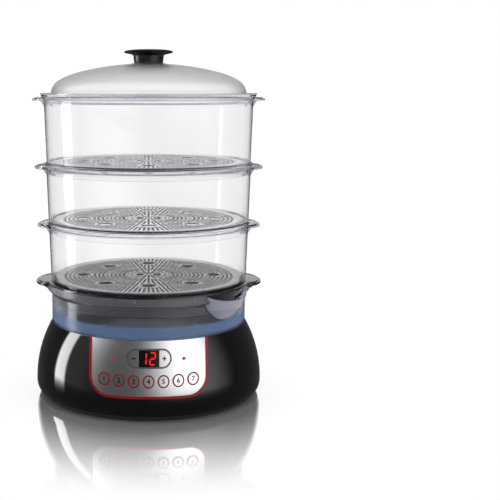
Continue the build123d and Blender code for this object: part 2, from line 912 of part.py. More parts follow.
def dome_solid(shrink):
    """Solid under the dome: corner, shoulder and crown arcs, moved in by a wall."""
    turned = corner_turn + shoulder_turn
    start = (dome_r - shrink, dome_low)
    arcs = [CenterArc((dome_r - corner_r, dome_low), corner_r - shrink, 0, corner_turn),
            CenterArc(shoulder_centre, shoulder_r - shrink, corner_turn, shoulder_turn),
            CenterArc((0, crown_z), crown_r - shrink, turned, 90 - turned)]
    peak = (0, crown_z + crown_r - shrink)
    return spin(*arcs, Polyline(peak, (0, lid_low), (start[0], lid_low), start))


def lid_dome():
    """Frosted lid: flange, domed cap, locating skirt and a seat for the knob."""
    cap = dome_solid(0) + tube(lid_flange_r, dome_r - lid_wall, lid_low, lid_low + lid_flange_t)
    cap -= dome_solid(lid_wall)
    rim_inner = bowl_outer(2, lid_low - lid_skirt_h) - bowl_wall
    skirt_r = rim_inner - lid_skirt_gap
    cap += tube(skirt_r, skirt_r - lid_wall, lid_low - lid_skirt_h, lid_low)
    cap += post(0, 0, lid_top - lid_wall, lid_top + knob_seat_t, knob_seat_r)
    cap += post(0, 0, lid_boss_low, lid_top, knob_boss_r)
    cap -= post(0, 0, lid_boss_low, lid_top + knob_seat_t, knob_screw_r + clear_gap)
    return cap


def lid_knob():
    """Stem that widens a little upwards under a lens-shaped disc with a thin edge."""
    low = lid_top + knob_seat_t
    neck = low + knob_neck_h
    edge = neck + knob_under_h + knob_edge_t
    peak = edge + knob_crown
    ball = (knob_r ** 2 + knob_crown ** 2) / (2 * knob_crown)
    middle = (knob_r / 2, peak - ball + sqrt(ball ** 2 - knob_r ** 2 / 4))
    crown = ThreePointArc((knob_r, edge), middle, (0, peak))
    sides = Polyline((0, peak), (0, low), (knob_stem_low, low), (knob_stem_high, neck),
                     (knob_r, neck + knob_under_h), (knob_r, edge))
    return spin(crown, sides) - post(0, 0, low, low + knob_screw_l, knob_screw_r + pilot_gap)


def knob_screw():
    length = lid_top + knob_seat_t + knob_screw_l - pilot_spare - lid_boss_low
    return Pos(0, 0, lid_boss_low) * screw(knob_screw_r, length, knob_head_r, knob_head_t)


# ---- Write every node ------------------------------------------------------------------------

def group(solids):
    return Compound(children=list(solids))


save(base_shell(), "base_shell")
save(bottom_cover(), "bottom_cover")
save(group(rubber_feet()), "rubber_feet")
save(group(cover_screws()), "cover_screws")
save(control_panel(), "control_panel")
save(panel_trim(), "panel_trim")
save(display_bezel(), "display_bezel")
save(display_window(), "display_window")
save(display_module(), "display_module")
save(button_rings(), "button_rings")
save(indicator_lamps(), "indicator_lamps")
save(control_board(), "control_board")
save(group(board_screws()), "board_screws")
save(group(button_switches()), "button_switches")
save(water_tank(), "water_tank")
save(tank_retainer(), "tank_retainer")
save(heater_plate(), "heater_plate")
save(heater_seal(), "heater_seal")
save(group(heater_screws()), "heater_screws")
save(heater_element(), "heater_element")
save(thermostat(), "thermostat")
save(power_board(), "power_board")
save(group(power_board_screws()), "power_board_screws")
save(transformer(), "transformer")
save(relay(), "relay")
save(capacitor(), "capacitor")
save(cord_gland(), "cord_gland")
save(ribbon_cable(), "ribbon_cable")
save(time_key(-1), "minus_button")
save(time_key(1), "plus_button")
for number, (key_x, key_z) in enumerate(preset_places(), 1):
    save(preset_key(key_x, key_z), f"preset_button_{number}")
save(drip_tray(), "drip_tray")
for tier in range(3):
    save(bowl(tier), f"bowl_{tier + 1}")
    save(floor(tier), f"floor_{tier + 1}")
save(lid_dome(), "lid_dome")
save(lid_knob(), "lid_knob")
save(knob_screw(), "knob_screw")
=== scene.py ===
# Electric food steamer: smooth shells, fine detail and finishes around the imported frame.
import bpy
import bmesh
import math
from mathutils import Matrix, Vector


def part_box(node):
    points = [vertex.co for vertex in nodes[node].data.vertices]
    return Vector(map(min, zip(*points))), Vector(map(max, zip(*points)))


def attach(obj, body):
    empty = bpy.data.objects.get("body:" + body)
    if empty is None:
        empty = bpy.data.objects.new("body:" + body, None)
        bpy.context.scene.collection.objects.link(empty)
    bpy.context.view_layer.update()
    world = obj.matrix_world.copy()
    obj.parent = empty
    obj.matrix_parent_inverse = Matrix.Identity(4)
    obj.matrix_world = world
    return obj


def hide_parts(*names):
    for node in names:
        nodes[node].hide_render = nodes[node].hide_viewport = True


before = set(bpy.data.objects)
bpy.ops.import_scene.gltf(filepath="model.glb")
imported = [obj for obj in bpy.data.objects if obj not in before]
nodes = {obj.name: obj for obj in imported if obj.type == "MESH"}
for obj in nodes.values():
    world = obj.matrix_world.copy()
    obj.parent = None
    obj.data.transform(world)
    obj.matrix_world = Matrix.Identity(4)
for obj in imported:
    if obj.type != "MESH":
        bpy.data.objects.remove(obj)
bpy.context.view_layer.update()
mm = 0.001
scene = bpy.context.scene
print("frame loaded:", len(nodes), "nodes")

# ---- camera ----
cameraSettings = {"place": (0.0, -1.193, 0.3658), "pitchDown": 9.22, "lens": 71.86, "shiftX": 0.2028}


def addCamera(s):
    data = bpy.data.cameras.new("camera")
    data.lens = s["lens"]
    data.sensor_width = 36.0
    data.shift_x = s["shiftX"]
    data.clip_end = 50.0
    camera = bpy.data.objects.new("camera", data)
    camera.location = s["place"]
    camera.rotation_euler = (math.radians(90.0 - s["pitchDown"]), 0.0, 0.0)
    scene.collection.objects.link(camera)
    scene.camera = camera


addCamera(cameraSettings)
print("camera placed")


# ---- mesh helpers ----
def linked(name, mesh):
    piece = bpy.data.objects.new(name, mesh)
    scene.collection.objects.link(piece)
    return piece


def finished(mesh, sharpAngle=38.0, weld=1e-6):
    work = bmesh.new()
    work.from_mesh(mesh)
    bmesh.ops.remove_doubles(work, verts=work.verts, dist=weld)
    bmesh.ops.dissolve_degenerate(work, edges=work.edges, dist=weld)
    bmesh.ops.recalc_face_normals(work, faces=work.faces)
    work.to_mesh(mesh)
    work.free()
    mesh.shade_smooth()
    mesh.set_sharp_from_angle(angle=math.radians(sharpAngle))


def softOutline(corners, steps=4):
    # closed outline of (radius, height, fillet) with each filleted corner drawn as a small arc
    points = []
    for i, (x, z, fillet) in enumerate(corners):
        here = Vector((x, z))
        back = Vector(corners[i - 1][:2]) - here
        ahead = Vector(corners[(i + 1) % len(corners)][:2]) - here
        room = 0.48 * min(back.length, ahead.length)
        if fillet == 0 or min(back.length, ahead.length) < 1e-7:
            points += [here] * (1 if fillet == 0 else steps + 1)
            continue
        back.normalize()
        ahead.normalize()
        half = max(back.angle(ahead) / 2, 1e-3)
        reach = min(fillet / math.tan(half), room)
        radius = reach * math.tan(half)
        if (back + ahead).length < 1e-6:
            points += [here] * (steps + 1)
            continue
        centre = here + (back + ahead).normalized() * (radius / math.sin(half))
        first = here + back * reach - centre
        last = here + ahead * reach - centre
        turn = math.atan2(first.x * last.y - first.y * last.x, first.dot(last))
        for k in range(steps + 1):
            a = turn * k / steps
            points.append(centre + Vector((first.x * math.cos(a) - first.y * math.sin(a),
                                           first.x * math.sin(a) + first.y * math.cos(a))))
    return points


def fan(middle, count, step):
    # angles either side of a middle one, a step in degrees apart
    return [middle + math.radians(d * step) for d in range(-count, count + 1)]


def evenAngles(count, *extra):
    # angles round the stack, counted from the front towards +X, with a few exact ones added
    turn = 2 * math.pi
    angles = [i * turn / count for i in range(count)] + list(extra)
    return sorted({round(a % turn, 6) for a in angles})


def lathe(name, outlineAt, angles):
    # one closed outline for each angle; equal point counts are joined into quads
    rows = [outlineAt(a) for a in angles]
    across = len(rows[0])
    verts = [(p[0] * math.sin(a), -p[0] * math.cos(a), p[1]) for a, row in zip(angles, rows) for p in row]
    faces = []
    for i in range(len(rows)):
        j = (i + 1) % len(rows)
        for k in range(across):
            n = (k + 1) % across
            faces.append((i * across + k, j * across + k, j * across + n, i * across + n))
    mesh = bpy.data.meshes.new(name)
    mesh.from_pydata(verts, [], faces)
    finished(mesh)
    return linked(name, mesh)


def turned(name, corners, count=192, steps=4):
    outline = softOutline(corners, steps)
    return lathe(name, lambda angle: outline, evenAngles(count))


def arc(cx, cz, radius, startDeg, endDeg, steps):
    return [(cx + radius * math.cos(math.radians(startDeg + (endDeg - startDeg) * k / steps)),
             cz + radius * math.sin(math.radians(startDeg + (endDeg - startDeg) * k / steps)), 0)
            for k in range(steps + 1)]


def applied(piece):
    graph = bpy.context.evaluated_depsgraph_get()
    mesh = bpy.data.meshes.new_from_object(piece.evaluated_get(graph))
    mesh.name = piece.name
    piece.modifiers.clear()
    piece.data = mesh


def carved(piece, cutter):
    step = piece.modifiers.new("carve", "BOOLEAN")
    step.operation = "DIFFERENCE"
    step.solver = "EXACT"
    step.object = cutter
    applied(piece)
    bpy.data.objects.remove(cutter)


def ovalRadius(angle, facing, centre, reach, half):
    # how far an oval, set off along one direction, reaches from the axis at an angle; 0 if it misses
    away = angle - facing
    c, s = math.cos(away) / reach, math.sin(away) / half
    a = c * c + s * s
    b = c * centre / reach
    rest = b * b - a * ((centre / reach) ** 2 - 1)
    if rest < 0 or math.cos(away) <= 0:
        return 0.0
    return (b + math.sqrt(rest)) / a


# ---- material helpers ----
def newNode(tree, kind, **settings):
    made = tree.nodes.new(kind)
    for key, value in settings.items():
        setattr(made, key, value)
    return made


def maths(tree, operation, a, b=None, c=None, clamp=False):
    made = newNode(tree, "ShaderNodeMath", operation=operation, use_clamp=clamp)
    for socket, value in zip(made.inputs, (a, b, c)):
        if isinstance(value, (int, float)):
            socket.default_value = value
        elif value is not None:
            tree.links.new(value, socket)
    return made.outputs[0]


def mixColour(tree, factor, a, b):
    made = newNode(tree, "ShaderNodeMix", data_type="RGBA")
    for socket, value in zip((made.inputs[0], made.inputs[6], made.inputs[7]), (factor, a, b)):
        if isinstance(value, tuple):
            socket.default_value = (*value, 1.0)
        elif isinstance(value, (int, float)):
            socket.default_value = value
        else:
            tree.links.new(value, socket)
    return made.outputs[2]


def mixShader(tree, factor, a, b):
    made = newNode(tree, "ShaderNodeMixShader")
    for socket, value in zip(made.inputs, (factor, a, b)):
        tree.links.new(value, socket)
    return made.outputs[0]


def ranged(tree, value, low, high, toLow=0.0, toHigh=1.0):
    made = newNode(tree, "ShaderNodeMapRange", interpolation_type="SMOOTHSTEP")
    tree.links.new(value, made.inputs["Value"])
    for name, number in zip(("From Min", "From Max", "To Min", "To Max"), (low, high, toLow, toHigh)):
        made.inputs[name].default_value = number
    return made.outputs[0]


def newGroup(name, inputs, outputs):
    group = bpy.data.node_groups.new(name, "ShaderNodeTree")
    for label, value in inputs.items():
        socket = group.interface.new_socket(label, in_out="INPUT", socket_type="NodeSocketFloat")
        socket.default_value = value
    for label in outputs:
        group.interface.new_socket(label, in_out="OUTPUT", socket_type="NodeSocketFloat")
    return group, group.nodes.new("NodeGroupInput"), group.nodes.new("NodeGroupOutput")


def objectPlace(tree, stretch=(1, 1, 1)):
    place = newNode(tree, "ShaderNodeMapping")
    place.inputs["Scale"].default_value = stretch
    tree.links.new(newNode(tree, "ShaderNodeTexCoord").outputs["Object"], place.inputs["Vector"])
    return place.outputs[0]


def noise(tree, place, scale, detail=3.0, rough=0.5):
    made = newNode(tree, "ShaderNodeTexNoise")
    tree.links.new(place, made.inputs["Vector"])
    if isinstance(scale, (int, float)):
        made.inputs["Scale"].default_value = scale
    else:
        tree.links.new(scale, made.inputs["Scale"])
    made.inputs["Detail"].default_value = detail
    made.inputs["Roughness"].default_value = rough
    return made.outputs[0]


def makeHandlingWear():
    # smudges and hairline marks: an uneven roughness and a very shallow height
    group, given, made = newGroup("handlingWear", {"Roughness": 0.1, "Unevenness": 0.04, "Scale": 30.0},
                                  ("Roughness", "Height", "Mask"))
    place = objectPlace(group)
    smudge = noise(group, place, given.outputs["Scale"], 4.0, 0.6)
    hair = noise(group, objectPlace(group, (60, 60, 3)), 14.0, 5.0, 0.7)
    mask = maths(group, "MULTIPLY", ranged(group, smudge, 0.35, 0.75), ranged(group, hair, 0.3, 0.7))
    roughness = maths(group, "MULTIPLY_ADD", mask, given.outputs["Unevenness"], given.outputs["Roughness"])
    group.links.new(roughness, made.inputs["Roughness"])
    group.links.new(hair, made.inputs["Height"])
    group.links.new(mask, made.inputs["Mask"])
    return group


def makeMouldGrain():
    # spark-eroded mould texture for satin plastic and rubber
    group, given, made = newGroup("mouldGrain", {"Scale": 900.0, "Roughness": 0.45, "Spread": 0.1},
                                  ("Height", "Roughness"))
    place = objectPlace(group)
    grain = noise(group, place, given.outputs["Scale"], 2.0, 0.55)
    broad = noise(group, place, 22.0, 3.0, 0.5)
    group.links.new(grain, made.inputs["Height"])
    spread = maths(group, "MULTIPLY", maths(group, "SUBTRACT", broad, 0.5), given.outputs["Spread"])
    group.links.new(maths(group, "ADD", spread, given.outputs["Roughness"]), made.inputs["Roughness"])
    return group


def makeBrushing():
    # fine brush lines along one direction, for the panel, keys and steel parts
    group, given, made = newGroup("brushing", {"Roughness": 0.3, "Depth": 0.1, "Scale": 3.0},
                                  ("Height", "Roughness", "Tone"))
    lines = noise(group, objectPlace(group, (8, 8, 900)), given.outputs["Scale"], 4.0, 0.65)
    broad = noise(group, objectPlace(group), 18.0, 2.0, 0.5)
    group.links.new(lines, made.inputs["Height"])
    change = maths(group, "MULTIPLY", maths(group, "SUBTRACT", lines, 0.5), given.outputs["Depth"])
    group.links.new(maths(group, "ADD", change, given.outputs["Roughness"]), made.inputs["Roughness"])
    tone = maths(group, "MULTIPLY", maths(group, "SUBTRACT", maths(group, "ADD", lines, broad), 1.0), 0.12)
    group.links.new(maths(group, "ADD", tone, 1.0), made.inputs["Tone"])
    return group


def blankMaterial(name):
    material = bpy.data.materials.new(name)
    material.use_nodes = True
    tree = material.node_tree
    return material, tree, tree.nodes["Principled BSDF"], tree.nodes["Material Output"]


def bumped(tree, shader, height, strength, distance):
    bump = newNode(tree, "ShaderNodeBump")
    bump.inputs["Strength"].default_value = strength
    bump.inputs["Distance"].default_value = distance
    tree.links.new(height, bump.inputs["Height"])
    tree.links.new(bump.outputs[0], shader.inputs["Normal"])


def grouped(tree, group, **values):
    made = newNode(tree, "ShaderNodeGroup", node_tree=group)
    for key, value in values.items():
        made.inputs[key].default_value = value
    return made


wearGroup = makeHandlingWear()
grainGroup = makeMouldGrain()
brushGroup = makeBrushing()


def glossPlastic(name, colour, roughness=0.1, uneven=0.05, specular=0.5, scale=30.0, bump=0.02):
    material, tree, shader, out = blankMaterial(name)
    wear = grouped(tree, wearGroup, Roughness=roughness, Unevenness=uneven, Scale=scale)
    tree.links.new(wear.outputs["Roughness"], shader.inputs["Roughness"])
    lifted = tuple(min(c * 1.25 + 0.001, 1.0) for c in colour)
    tree.links.new(mixColour(tree, wear.outputs["Mask"], colour, lifted), shader.inputs["Base Color"])
    shader.inputs["Specular IOR Level"].default_value = specular
    bumped(tree, shader, wear.outputs["Height"], bump, 0.00005)
    return material


def satinPlastic(name, colour, roughness=0.45, scale=900.0, bump=0.15, spread=0.12, specular=0.5):
    material, tree, shader, out = blankMaterial(name)
    grain = grouped(tree, grainGroup, Scale=scale, Roughness=roughness, Spread=spread)
    tree.links.new(grain.outputs["Roughness"], shader.inputs["Roughness"])
    darker = tuple(c * 0.82 for c in colour)
    tree.links.new(mixColour(tree, grain.outputs["Height"], darker, colour), shader.inputs["Base Color"])
    shader.inputs["Specular IOR Level"].default_value = specular
    bumped(tree, shader, grain.outputs["Height"], bump, 0.0001)
    return material


def brushedMetal(name, colour, roughness=0.3, depth=0.12, bump=0.05, metallic=1.0, scale=3.0):
    material, tree, shader, out = blankMaterial(name)
    lines = grouped(tree, brushGroup, Roughness=roughness, Depth=depth, Scale=scale)
    tree.links.new(lines.outputs["Roughness"], shader.inputs["Roughness"])
    tone = newNode(tree, "ShaderNodeMix", data_type="RGBA", blend_type="MULTIPLY")
    tone.inputs[0].default_value = 1.0
    tone.inputs[6].default_value = (*colour, 1.0)
    tree.links.new(lines.outputs["Tone"], tone.inputs[7])
    tree.links.new(tone.outputs[2], shader.inputs["Base Color"])
    shader.inputs["Metallic"].default_value = metallic
    bumped(tree, shader, lines.outputs["Height"], bump, 0.00005)
    return material


def letLightThrough(tree, shader, out, film):
    # lamp and diffuse rays pass straight through, so that what stands inside is lit as through thin plastic
    path = newNode(tree, "ShaderNodeLightPath")
    current = shader.outputs[0]
    for ray in ("Is Shadow Ray", "Is Diffuse Ray"):
        clear = newNode(tree, "ShaderNodeBsdfTransparent")
        clear.inputs["Color"].default_value = (*film, 1.0)
        current = mixShader(tree, path.outputs[ray], current, clear.outputs[0])
    tree.links.new(current, out.inputs["Surface"])


def clearPlastic(name, look):
    material, tree, shader, out = blankMaterial(name)
    facing = newNode(tree, "ShaderNodeLayerWeight")
    facing.inputs["Blend"].default_value = 0.5
    rim = ranged(tree, facing.outputs["Facing"], look["rimFrom"], look["rimTo"])
    colour = mixColour(tree, rim, look["clear"], look["rim"])
    tree.links.new(colour, shader.inputs["Base Color"])
    wear = grouped(tree, wearGroup, Roughness=look["roughness"], Unevenness=look["uneven"], Scale=40.0)
    tree.links.new(wear.outputs["Roughness"], shader.inputs["Roughness"])
    shader.inputs["Transmission Weight"].default_value = look["through"]
    shader.inputs["IOR"].default_value = look["ior"]
    letLightThrough(tree, shader, out, look["film"])
    return material


def dress(material, *names):
    for name in names:
        piece = nodes[name] if isinstance(name, str) else name
        if not piece.material_slots:
            piece.data.materials.append(material)
        for slot in piece.material_slots:
            slot.material = material


# ---- finishes ----
housingBlack = glossPlastic("housingBlack", (0.0025, 0.0025, 0.0035), 0.05, 0.04, 0.5)
coverBlack = satinPlastic("coverBlack", (0.02, 0.02, 0.022), 0.5)
footRubber = satinPlastic("footRubber", (0.03, 0.03, 0.03), 0.75, 600.0, 0.3)
screwSteel = brushedMetal("screwSteel", (0.55, 0.55, 0.57), 0.3)
panelMetal = brushedMetal("panelMetal", (0.62, 0.62, 0.635), 0.33, 0.06, 0.03)
trimRed = glossPlastic("trimRed", (0.21, 0.005, 0.009), 0.2, 0.06, 0.25)
ringRed = glossPlastic("ringRed", (0.21, 0.005, 0.010), 0.25, 0.06, 0.2)
bezelGrey = glossPlastic("bezelGrey", (0.07, 0.07, 0.075), 0.25, 0.08)
windowBlack = glossPlastic("windowBlack", (0.004, 0.003, 0.004), 0.06, 0.03, 0.3)
moduleWhite = satinPlastic("moduleWhite", (0.8, 0.8, 0.78), 0.5)
boardGreen = glossPlastic("boardGreen", (0.03, 0.16, 0.07), 0.35, 0.1)
switchBlack = satinPlastic("switchBlack", (0.03, 0.03, 0.03), 0.5)
heaterCoat = brushedMetal("heaterCoat", (0.14, 0.14, 0.15), 0.36)
sealSilicone = satinPlastic("sealSilicone", (0.68, 0.67, 0.64), 0.6)
elementSteel = brushedMetal("elementSteel", (0.33, 0.33, 0.35), 0.45)
thermostatBlack = satinPlastic("thermostatBlack", (0.06, 0.05, 0.045), 0.55)
transformerIron = brushedMetal("transformerIron", (0.18, 0.18, 0.2), 0.5)
relayBlue = satinPlastic("relayBlue", (0.05, 0.1, 0.35), 0.4)
capacitorCan = brushedMetal("capacitorCan", (0.12, 0.13, 0.25), 0.4)
glandBlack = satinPlastic("glandBlack", (0.02, 0.02, 0.02), 0.65)
cableGrey = satinPlastic("cableGrey", (0.45, 0.45, 0.46), 0.5)
knobBlack = satinPlastic("knobBlack", (0.008, 0.008, 0.009), 0.5, 1400.0, 0.05, 0.08, 0.03)
stemBlack = satinPlastic("stemBlack", (0.008, 0.008, 0.009), 0.3, 1400.0, 0.05, 0.08, 0.45)
keySilver = brushedMetal("keySilver", (0.62, 0.62, 0.63), 0.3, 0.06, 0.02)
markBlack = satinPlastic("markBlack", (0.010, 0.010, 0.010), 0.5, specular=0.1)

clearLook = {"clear": (0.962, 0.962, 0.968), "rim": (0.03, 0.03, 0.05), "rimFrom": 0.78, "rimTo": 1.0,
             "roughness": 0.04, "uneven": 0.02, "through": 1.0, "ior": 1.42, "film": (0.95, 0.95, 0.96)}
floorLook = {**clearLook, "clear": (0.965, 0.962, 0.98), "rim": (0.86, 0.86, 0.89), "rimFrom": 0.8,
             "roughness": 0.06, "film": (0.85, 0.85, 0.88)}
cupLook = {**clearLook, "clear": (0.93, 0.93, 0.95), "rim": (0.30, 0.30, 0.36), "roughness": 0.03}
ledgeLook = {**clearLook, "rim": (0.45, 0.45, 0.52), "rimFrom": 0.8, "ior": 1.14}
# painted shade: a greyer clear for the thick grips and for the lid's flange edge and skirt, darker where
# shade falls on them
gripShadeLook = {**clearLook, "clear": (0.62, 0.61, 0.68), "rim": (0.10, 0.10, 0.14)}
# painted shade: a dark-tinted clear for the gussets under the grips, where shade falls
webShadeLook = {**clearLook, "clear": (0.38, 0.37, 0.46), "rim": (0.06, 0.06, 0.10)}
# the lid's dark edge tint starts far in from the silhouette: besides the darker path through the plastic, it
# paints shade on the crown, which is seen at a grazing angle
lidLook = {**clearLook, "clear": (1.0, 1.0, 1.0), "rim": (0.10, 0.097, 0.14), "rimFrom": 0.42, "rimTo": 1.08,
           "roughness": 0.30, "uneven": 0.04, "through": 0.995, "ior": 1.17, "film": (0.9, 0.9, 0.92)}
tankLook = {**clearLook, "clear": (0.90, 0.90, 0.945), "rim": (0.20, 0.21, 0.34), "rimFrom": 0.6,
            "roughness": 0.14}
collarLook = {**tankLook, "clear": (0.84, 0.84, 0.90), "roughness": 0.26, "through": 0.97}
scoopLook = {**tankLook, "clear": (0.66, 0.66, 0.77), "roughness": 0.2, "through": 0.74}
waterLook = {**tankLook, "clear": (0.34, 0.49, 0.80), "rim": (0.08, 0.16, 0.36), "roughness": 0.24,
             "through": 0.87}
bowlClear = clearPlastic("bowlClear", clearLook)
floorClear = clearPlastic("floorClear", floorLook)
cupClear = clearPlastic("cupClear", cupLook)
gripShadeClear = clearPlastic("gripShadeClear", gripShadeLook)
webShadeClear = clearPlastic("webShadeClear", webShadeLook)
ledgeClear = clearPlastic("ledgeClear", ledgeLook)
floorEdge = glossPlastic("floorEdge", (0.030, 0.028, 0.052), 0.15, 0.05, 0.5)
# painted shade: a dark gloss for the walls of the steam holes, standing in for the shadow inside them
holePaintedShade = glossPlastic("holePaintedShade", (0.03, 0.028, 0.05), 0.25, 0.05, 0.3)
lidFrost = clearPlastic("lidFrost", lidLook)
tankClear = clearPlastic("tankClear", tankLook)
collarClear = clearPlastic("collarClear", collarLook)
scoopClear = clearPlastic("scoopClear", scoopLook)
waterClear = clearPlastic("waterClear", waterLook)
traySmoke = glossPlastic("traySmoke", (0.003, 0.003, 0.0045), 0.1, 0.04, 0.5)


def glowing(name, colour, strength):
    material, tree, shader, out = blankMaterial(name)
    shader.inputs["Base Color"].default_value = (0.02, 0.001, 0.001, 1.0)
    shader.inputs["Specular IOR Level"].default_value = 0.1
    flicker = ranged(tree, noise(tree, objectPlace(tree), 900.0), 0.2, 0.8)
    light = mixColour(tree, flicker, tuple(c * 0.85 for c in colour), colour)
    tree.links.new(light, shader.inputs["Emission Color"])
    shader.inputs["Emission Strength"].default_value = strength
    return material


digitRed = glowing("digitRed", (1.0, 0.014, 0.012), 1.15)
lampGlow = glowing("lampGlow", (0.9, 0.02, 0.03), 0.6)
print("finishes made")

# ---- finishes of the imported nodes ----
dress(coverBlack, "bottom_cover")
dress(footRubber, "rubber_feet")
dress(screwSteel, "cover_screws", "board_screws", "heater_screws", "power_board_screws", "tank_retainer",
      "knob_screw")
dress(panelMetal, "control_panel")
dress(trimRed, "panel_trim")
dress(ringRed, "button_rings")
dress(bezelGrey, "display_bezel")
dress(windowBlack, "display_window")
dress(moduleWhite, "display_module")
dress(lampGlow, "indicator_lamps")
dress(boardGreen, "control_board", "power_board")
dress(switchBlack, "button_switches")
dress(heaterCoat, "heater_plate")
dress(sealSilicone, "heater_seal")
dress(elementSteel, "heater_element")
dress(thermostatBlack, "thermostat")
dress(transformerIron, "transformer")
dress(relayBlue, "relay")
dress(capacitorCan, "capacitor")
dress(glandBlack, "cord_gland")
dress(cableGrey, "ribbon_cable")
presetKeys = [f"preset_button_{i}" for i in range(1, 8)]
dress(keySilver, "minus_button", "plus_button", *presetKeys)

# ---- housing ----
housingLook = {"beltR": 136.6 * mm, "beltZ": 17.0 * mm, "sideArc": 142.0 * mm, "underArc": 20.0 * mm,
               "wall": 3.0 * mm, "deck": 2.6 * mm, "topEdge": 0.6 * mm, "holeGap": 0.4 * mm,
               "basinR": 96.0 * mm, "seam": 6.9 * mm, "panelHalf": 66.5 * mm, "panelLow": 28.0 * mm,
               "panelCorner": 22.0 * mm, "panelGap": 0.4 * mm, "cutHigh": 120.0 * mm,
               "cutDepths": (-160.0 * mm, -90.0 * mm)}


def housingRadius(z):
    s = housingLook
    bend = s["sideArc"] if z >= s["beltZ"] else s["underArc"]
    return s["beltR"] - bend + math.sqrt(bend ** 2 - (z - s["beltZ"]) ** 2)


def panelCutter(inset):
    # upright prism with the panel's outline, from the front view
    s = housingLook
    half, low, corner = s["panelHalf"] - inset, s["panelLow"] + inset, s["panelCorner"] - inset
    outline = [(-half, s["cutHigh"]), (-half, low + corner)]
    outline += [(-half + corner + x, low + corner + z) for x, z, _ in arc(0, 0, corner, 180, 270, 12)]
    outline += [(half - corner + x, low + corner + z) for x, z, _ in arc(0, 0, corner, 270, 360, 12)]
    outline += [(half, low + corner), (half, s["cutHigh"])]
    count = len(outline)
    verts = [(x, y, z) for y in s["cutDepths"] for x, z in outline]
    faces = [tuple(range(count)), tuple(reversed(range(count, 2 * count)))]
    faces += [(i, i + count, (i + 1) % count + count, (i + 1) % count) for i in range(count)]
    mesh = bpy.data.meshes.new("panelCutter")
    mesh.from_pydata(verts, [], faces)
    finished(mesh)
    return linked("panelCutter", mesh)


def makeHousing():
    s = housingLook
    low = max(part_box("base_shell")[0].z, s["seam"])
    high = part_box("base_shell")[1].z
    deckLow = high - s["deck"]
    rise = high - s["topEdge"] - low
    steps = 40
    outer = [(housingRadius(z), z, 0) for z in (low + rise * i / steps for i in range(steps + 1))]
    top = housingRadius(high)
    holeR = s["basinR"] + s["holeGap"]
    corners = outer + [(top, high, s["topEdge"]), (holeR, high, 0.4 * mm), (holeR, deckLow, 0),
                       (top - s["wall"], deckLow, 0)]
    corners += [(housingRadius(z) - s["wall"], z, 0)
                for z in (low + (high - low) * share for share in (0.75, 0.5, 0.25, 0.0))]
    housing = turned("housing_shell", corners, 256)
    carved(housing, panelCutter(s["panelGap"]))
    finished(housing.data)
    dress(housingBlack, housing)
    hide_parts("base_shell")
    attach(housing, "base")


makeHousing()
print("housing made")

# ---- water tank ----
tankShape = {"wallR": 117.0 * mm, "wall": 2.4 * mm, "collarLow": 124.0 * mm, "collarRise": 5.0 * mm,
             "collarOut": 5.3 * mm, "basinR": 96.0 * mm, "basinFloor": 72.0 * mm, "plateHole": 58.0 * mm,
             "base": 89.2 * mm, "top": 136.6 * mm, "lugReach": 126.3 * mm, "lugHalf": 21.0 * mm,
             "lugRoot": 6.0 * mm, "lugLow": 129.0 * mm, "lugHigh": 134.0 * mm, "rings": 64,
             "spoutAngle": 48.5, "spoutInset": 4.0 * mm, "spoutLow": 101.0 * mm, "spoutReach": 20.0 * mm,
             "spoutHalf": 36.0 * mm, "spoutLip": 128.5 * mm, "spoutFan": (36, 0.75), "lugFan": (16, 0.7),
             "innerRise": 0.4, "stepHeight": 0.01 * mm, "waterTop": 103.5 * mm, "zoneTop": 126.5 * mm,
             "proudBy": 0.6 * mm, "proudSpread": 0.4}


def spoutSwell(rise):
    # share of the scoop's full size at a share of its height
    steps = ((0.0, 0.04), (0.22, 0.5), (0.5, 0.8), (1.0, 1.0))
    for (a, sizeA), (b, sizeB) in zip(steps, steps[1:]):
        if rise <= b:
            return sizeA + (sizeB - sizeA) * (rise - a) / (b - a)
    return 1.0


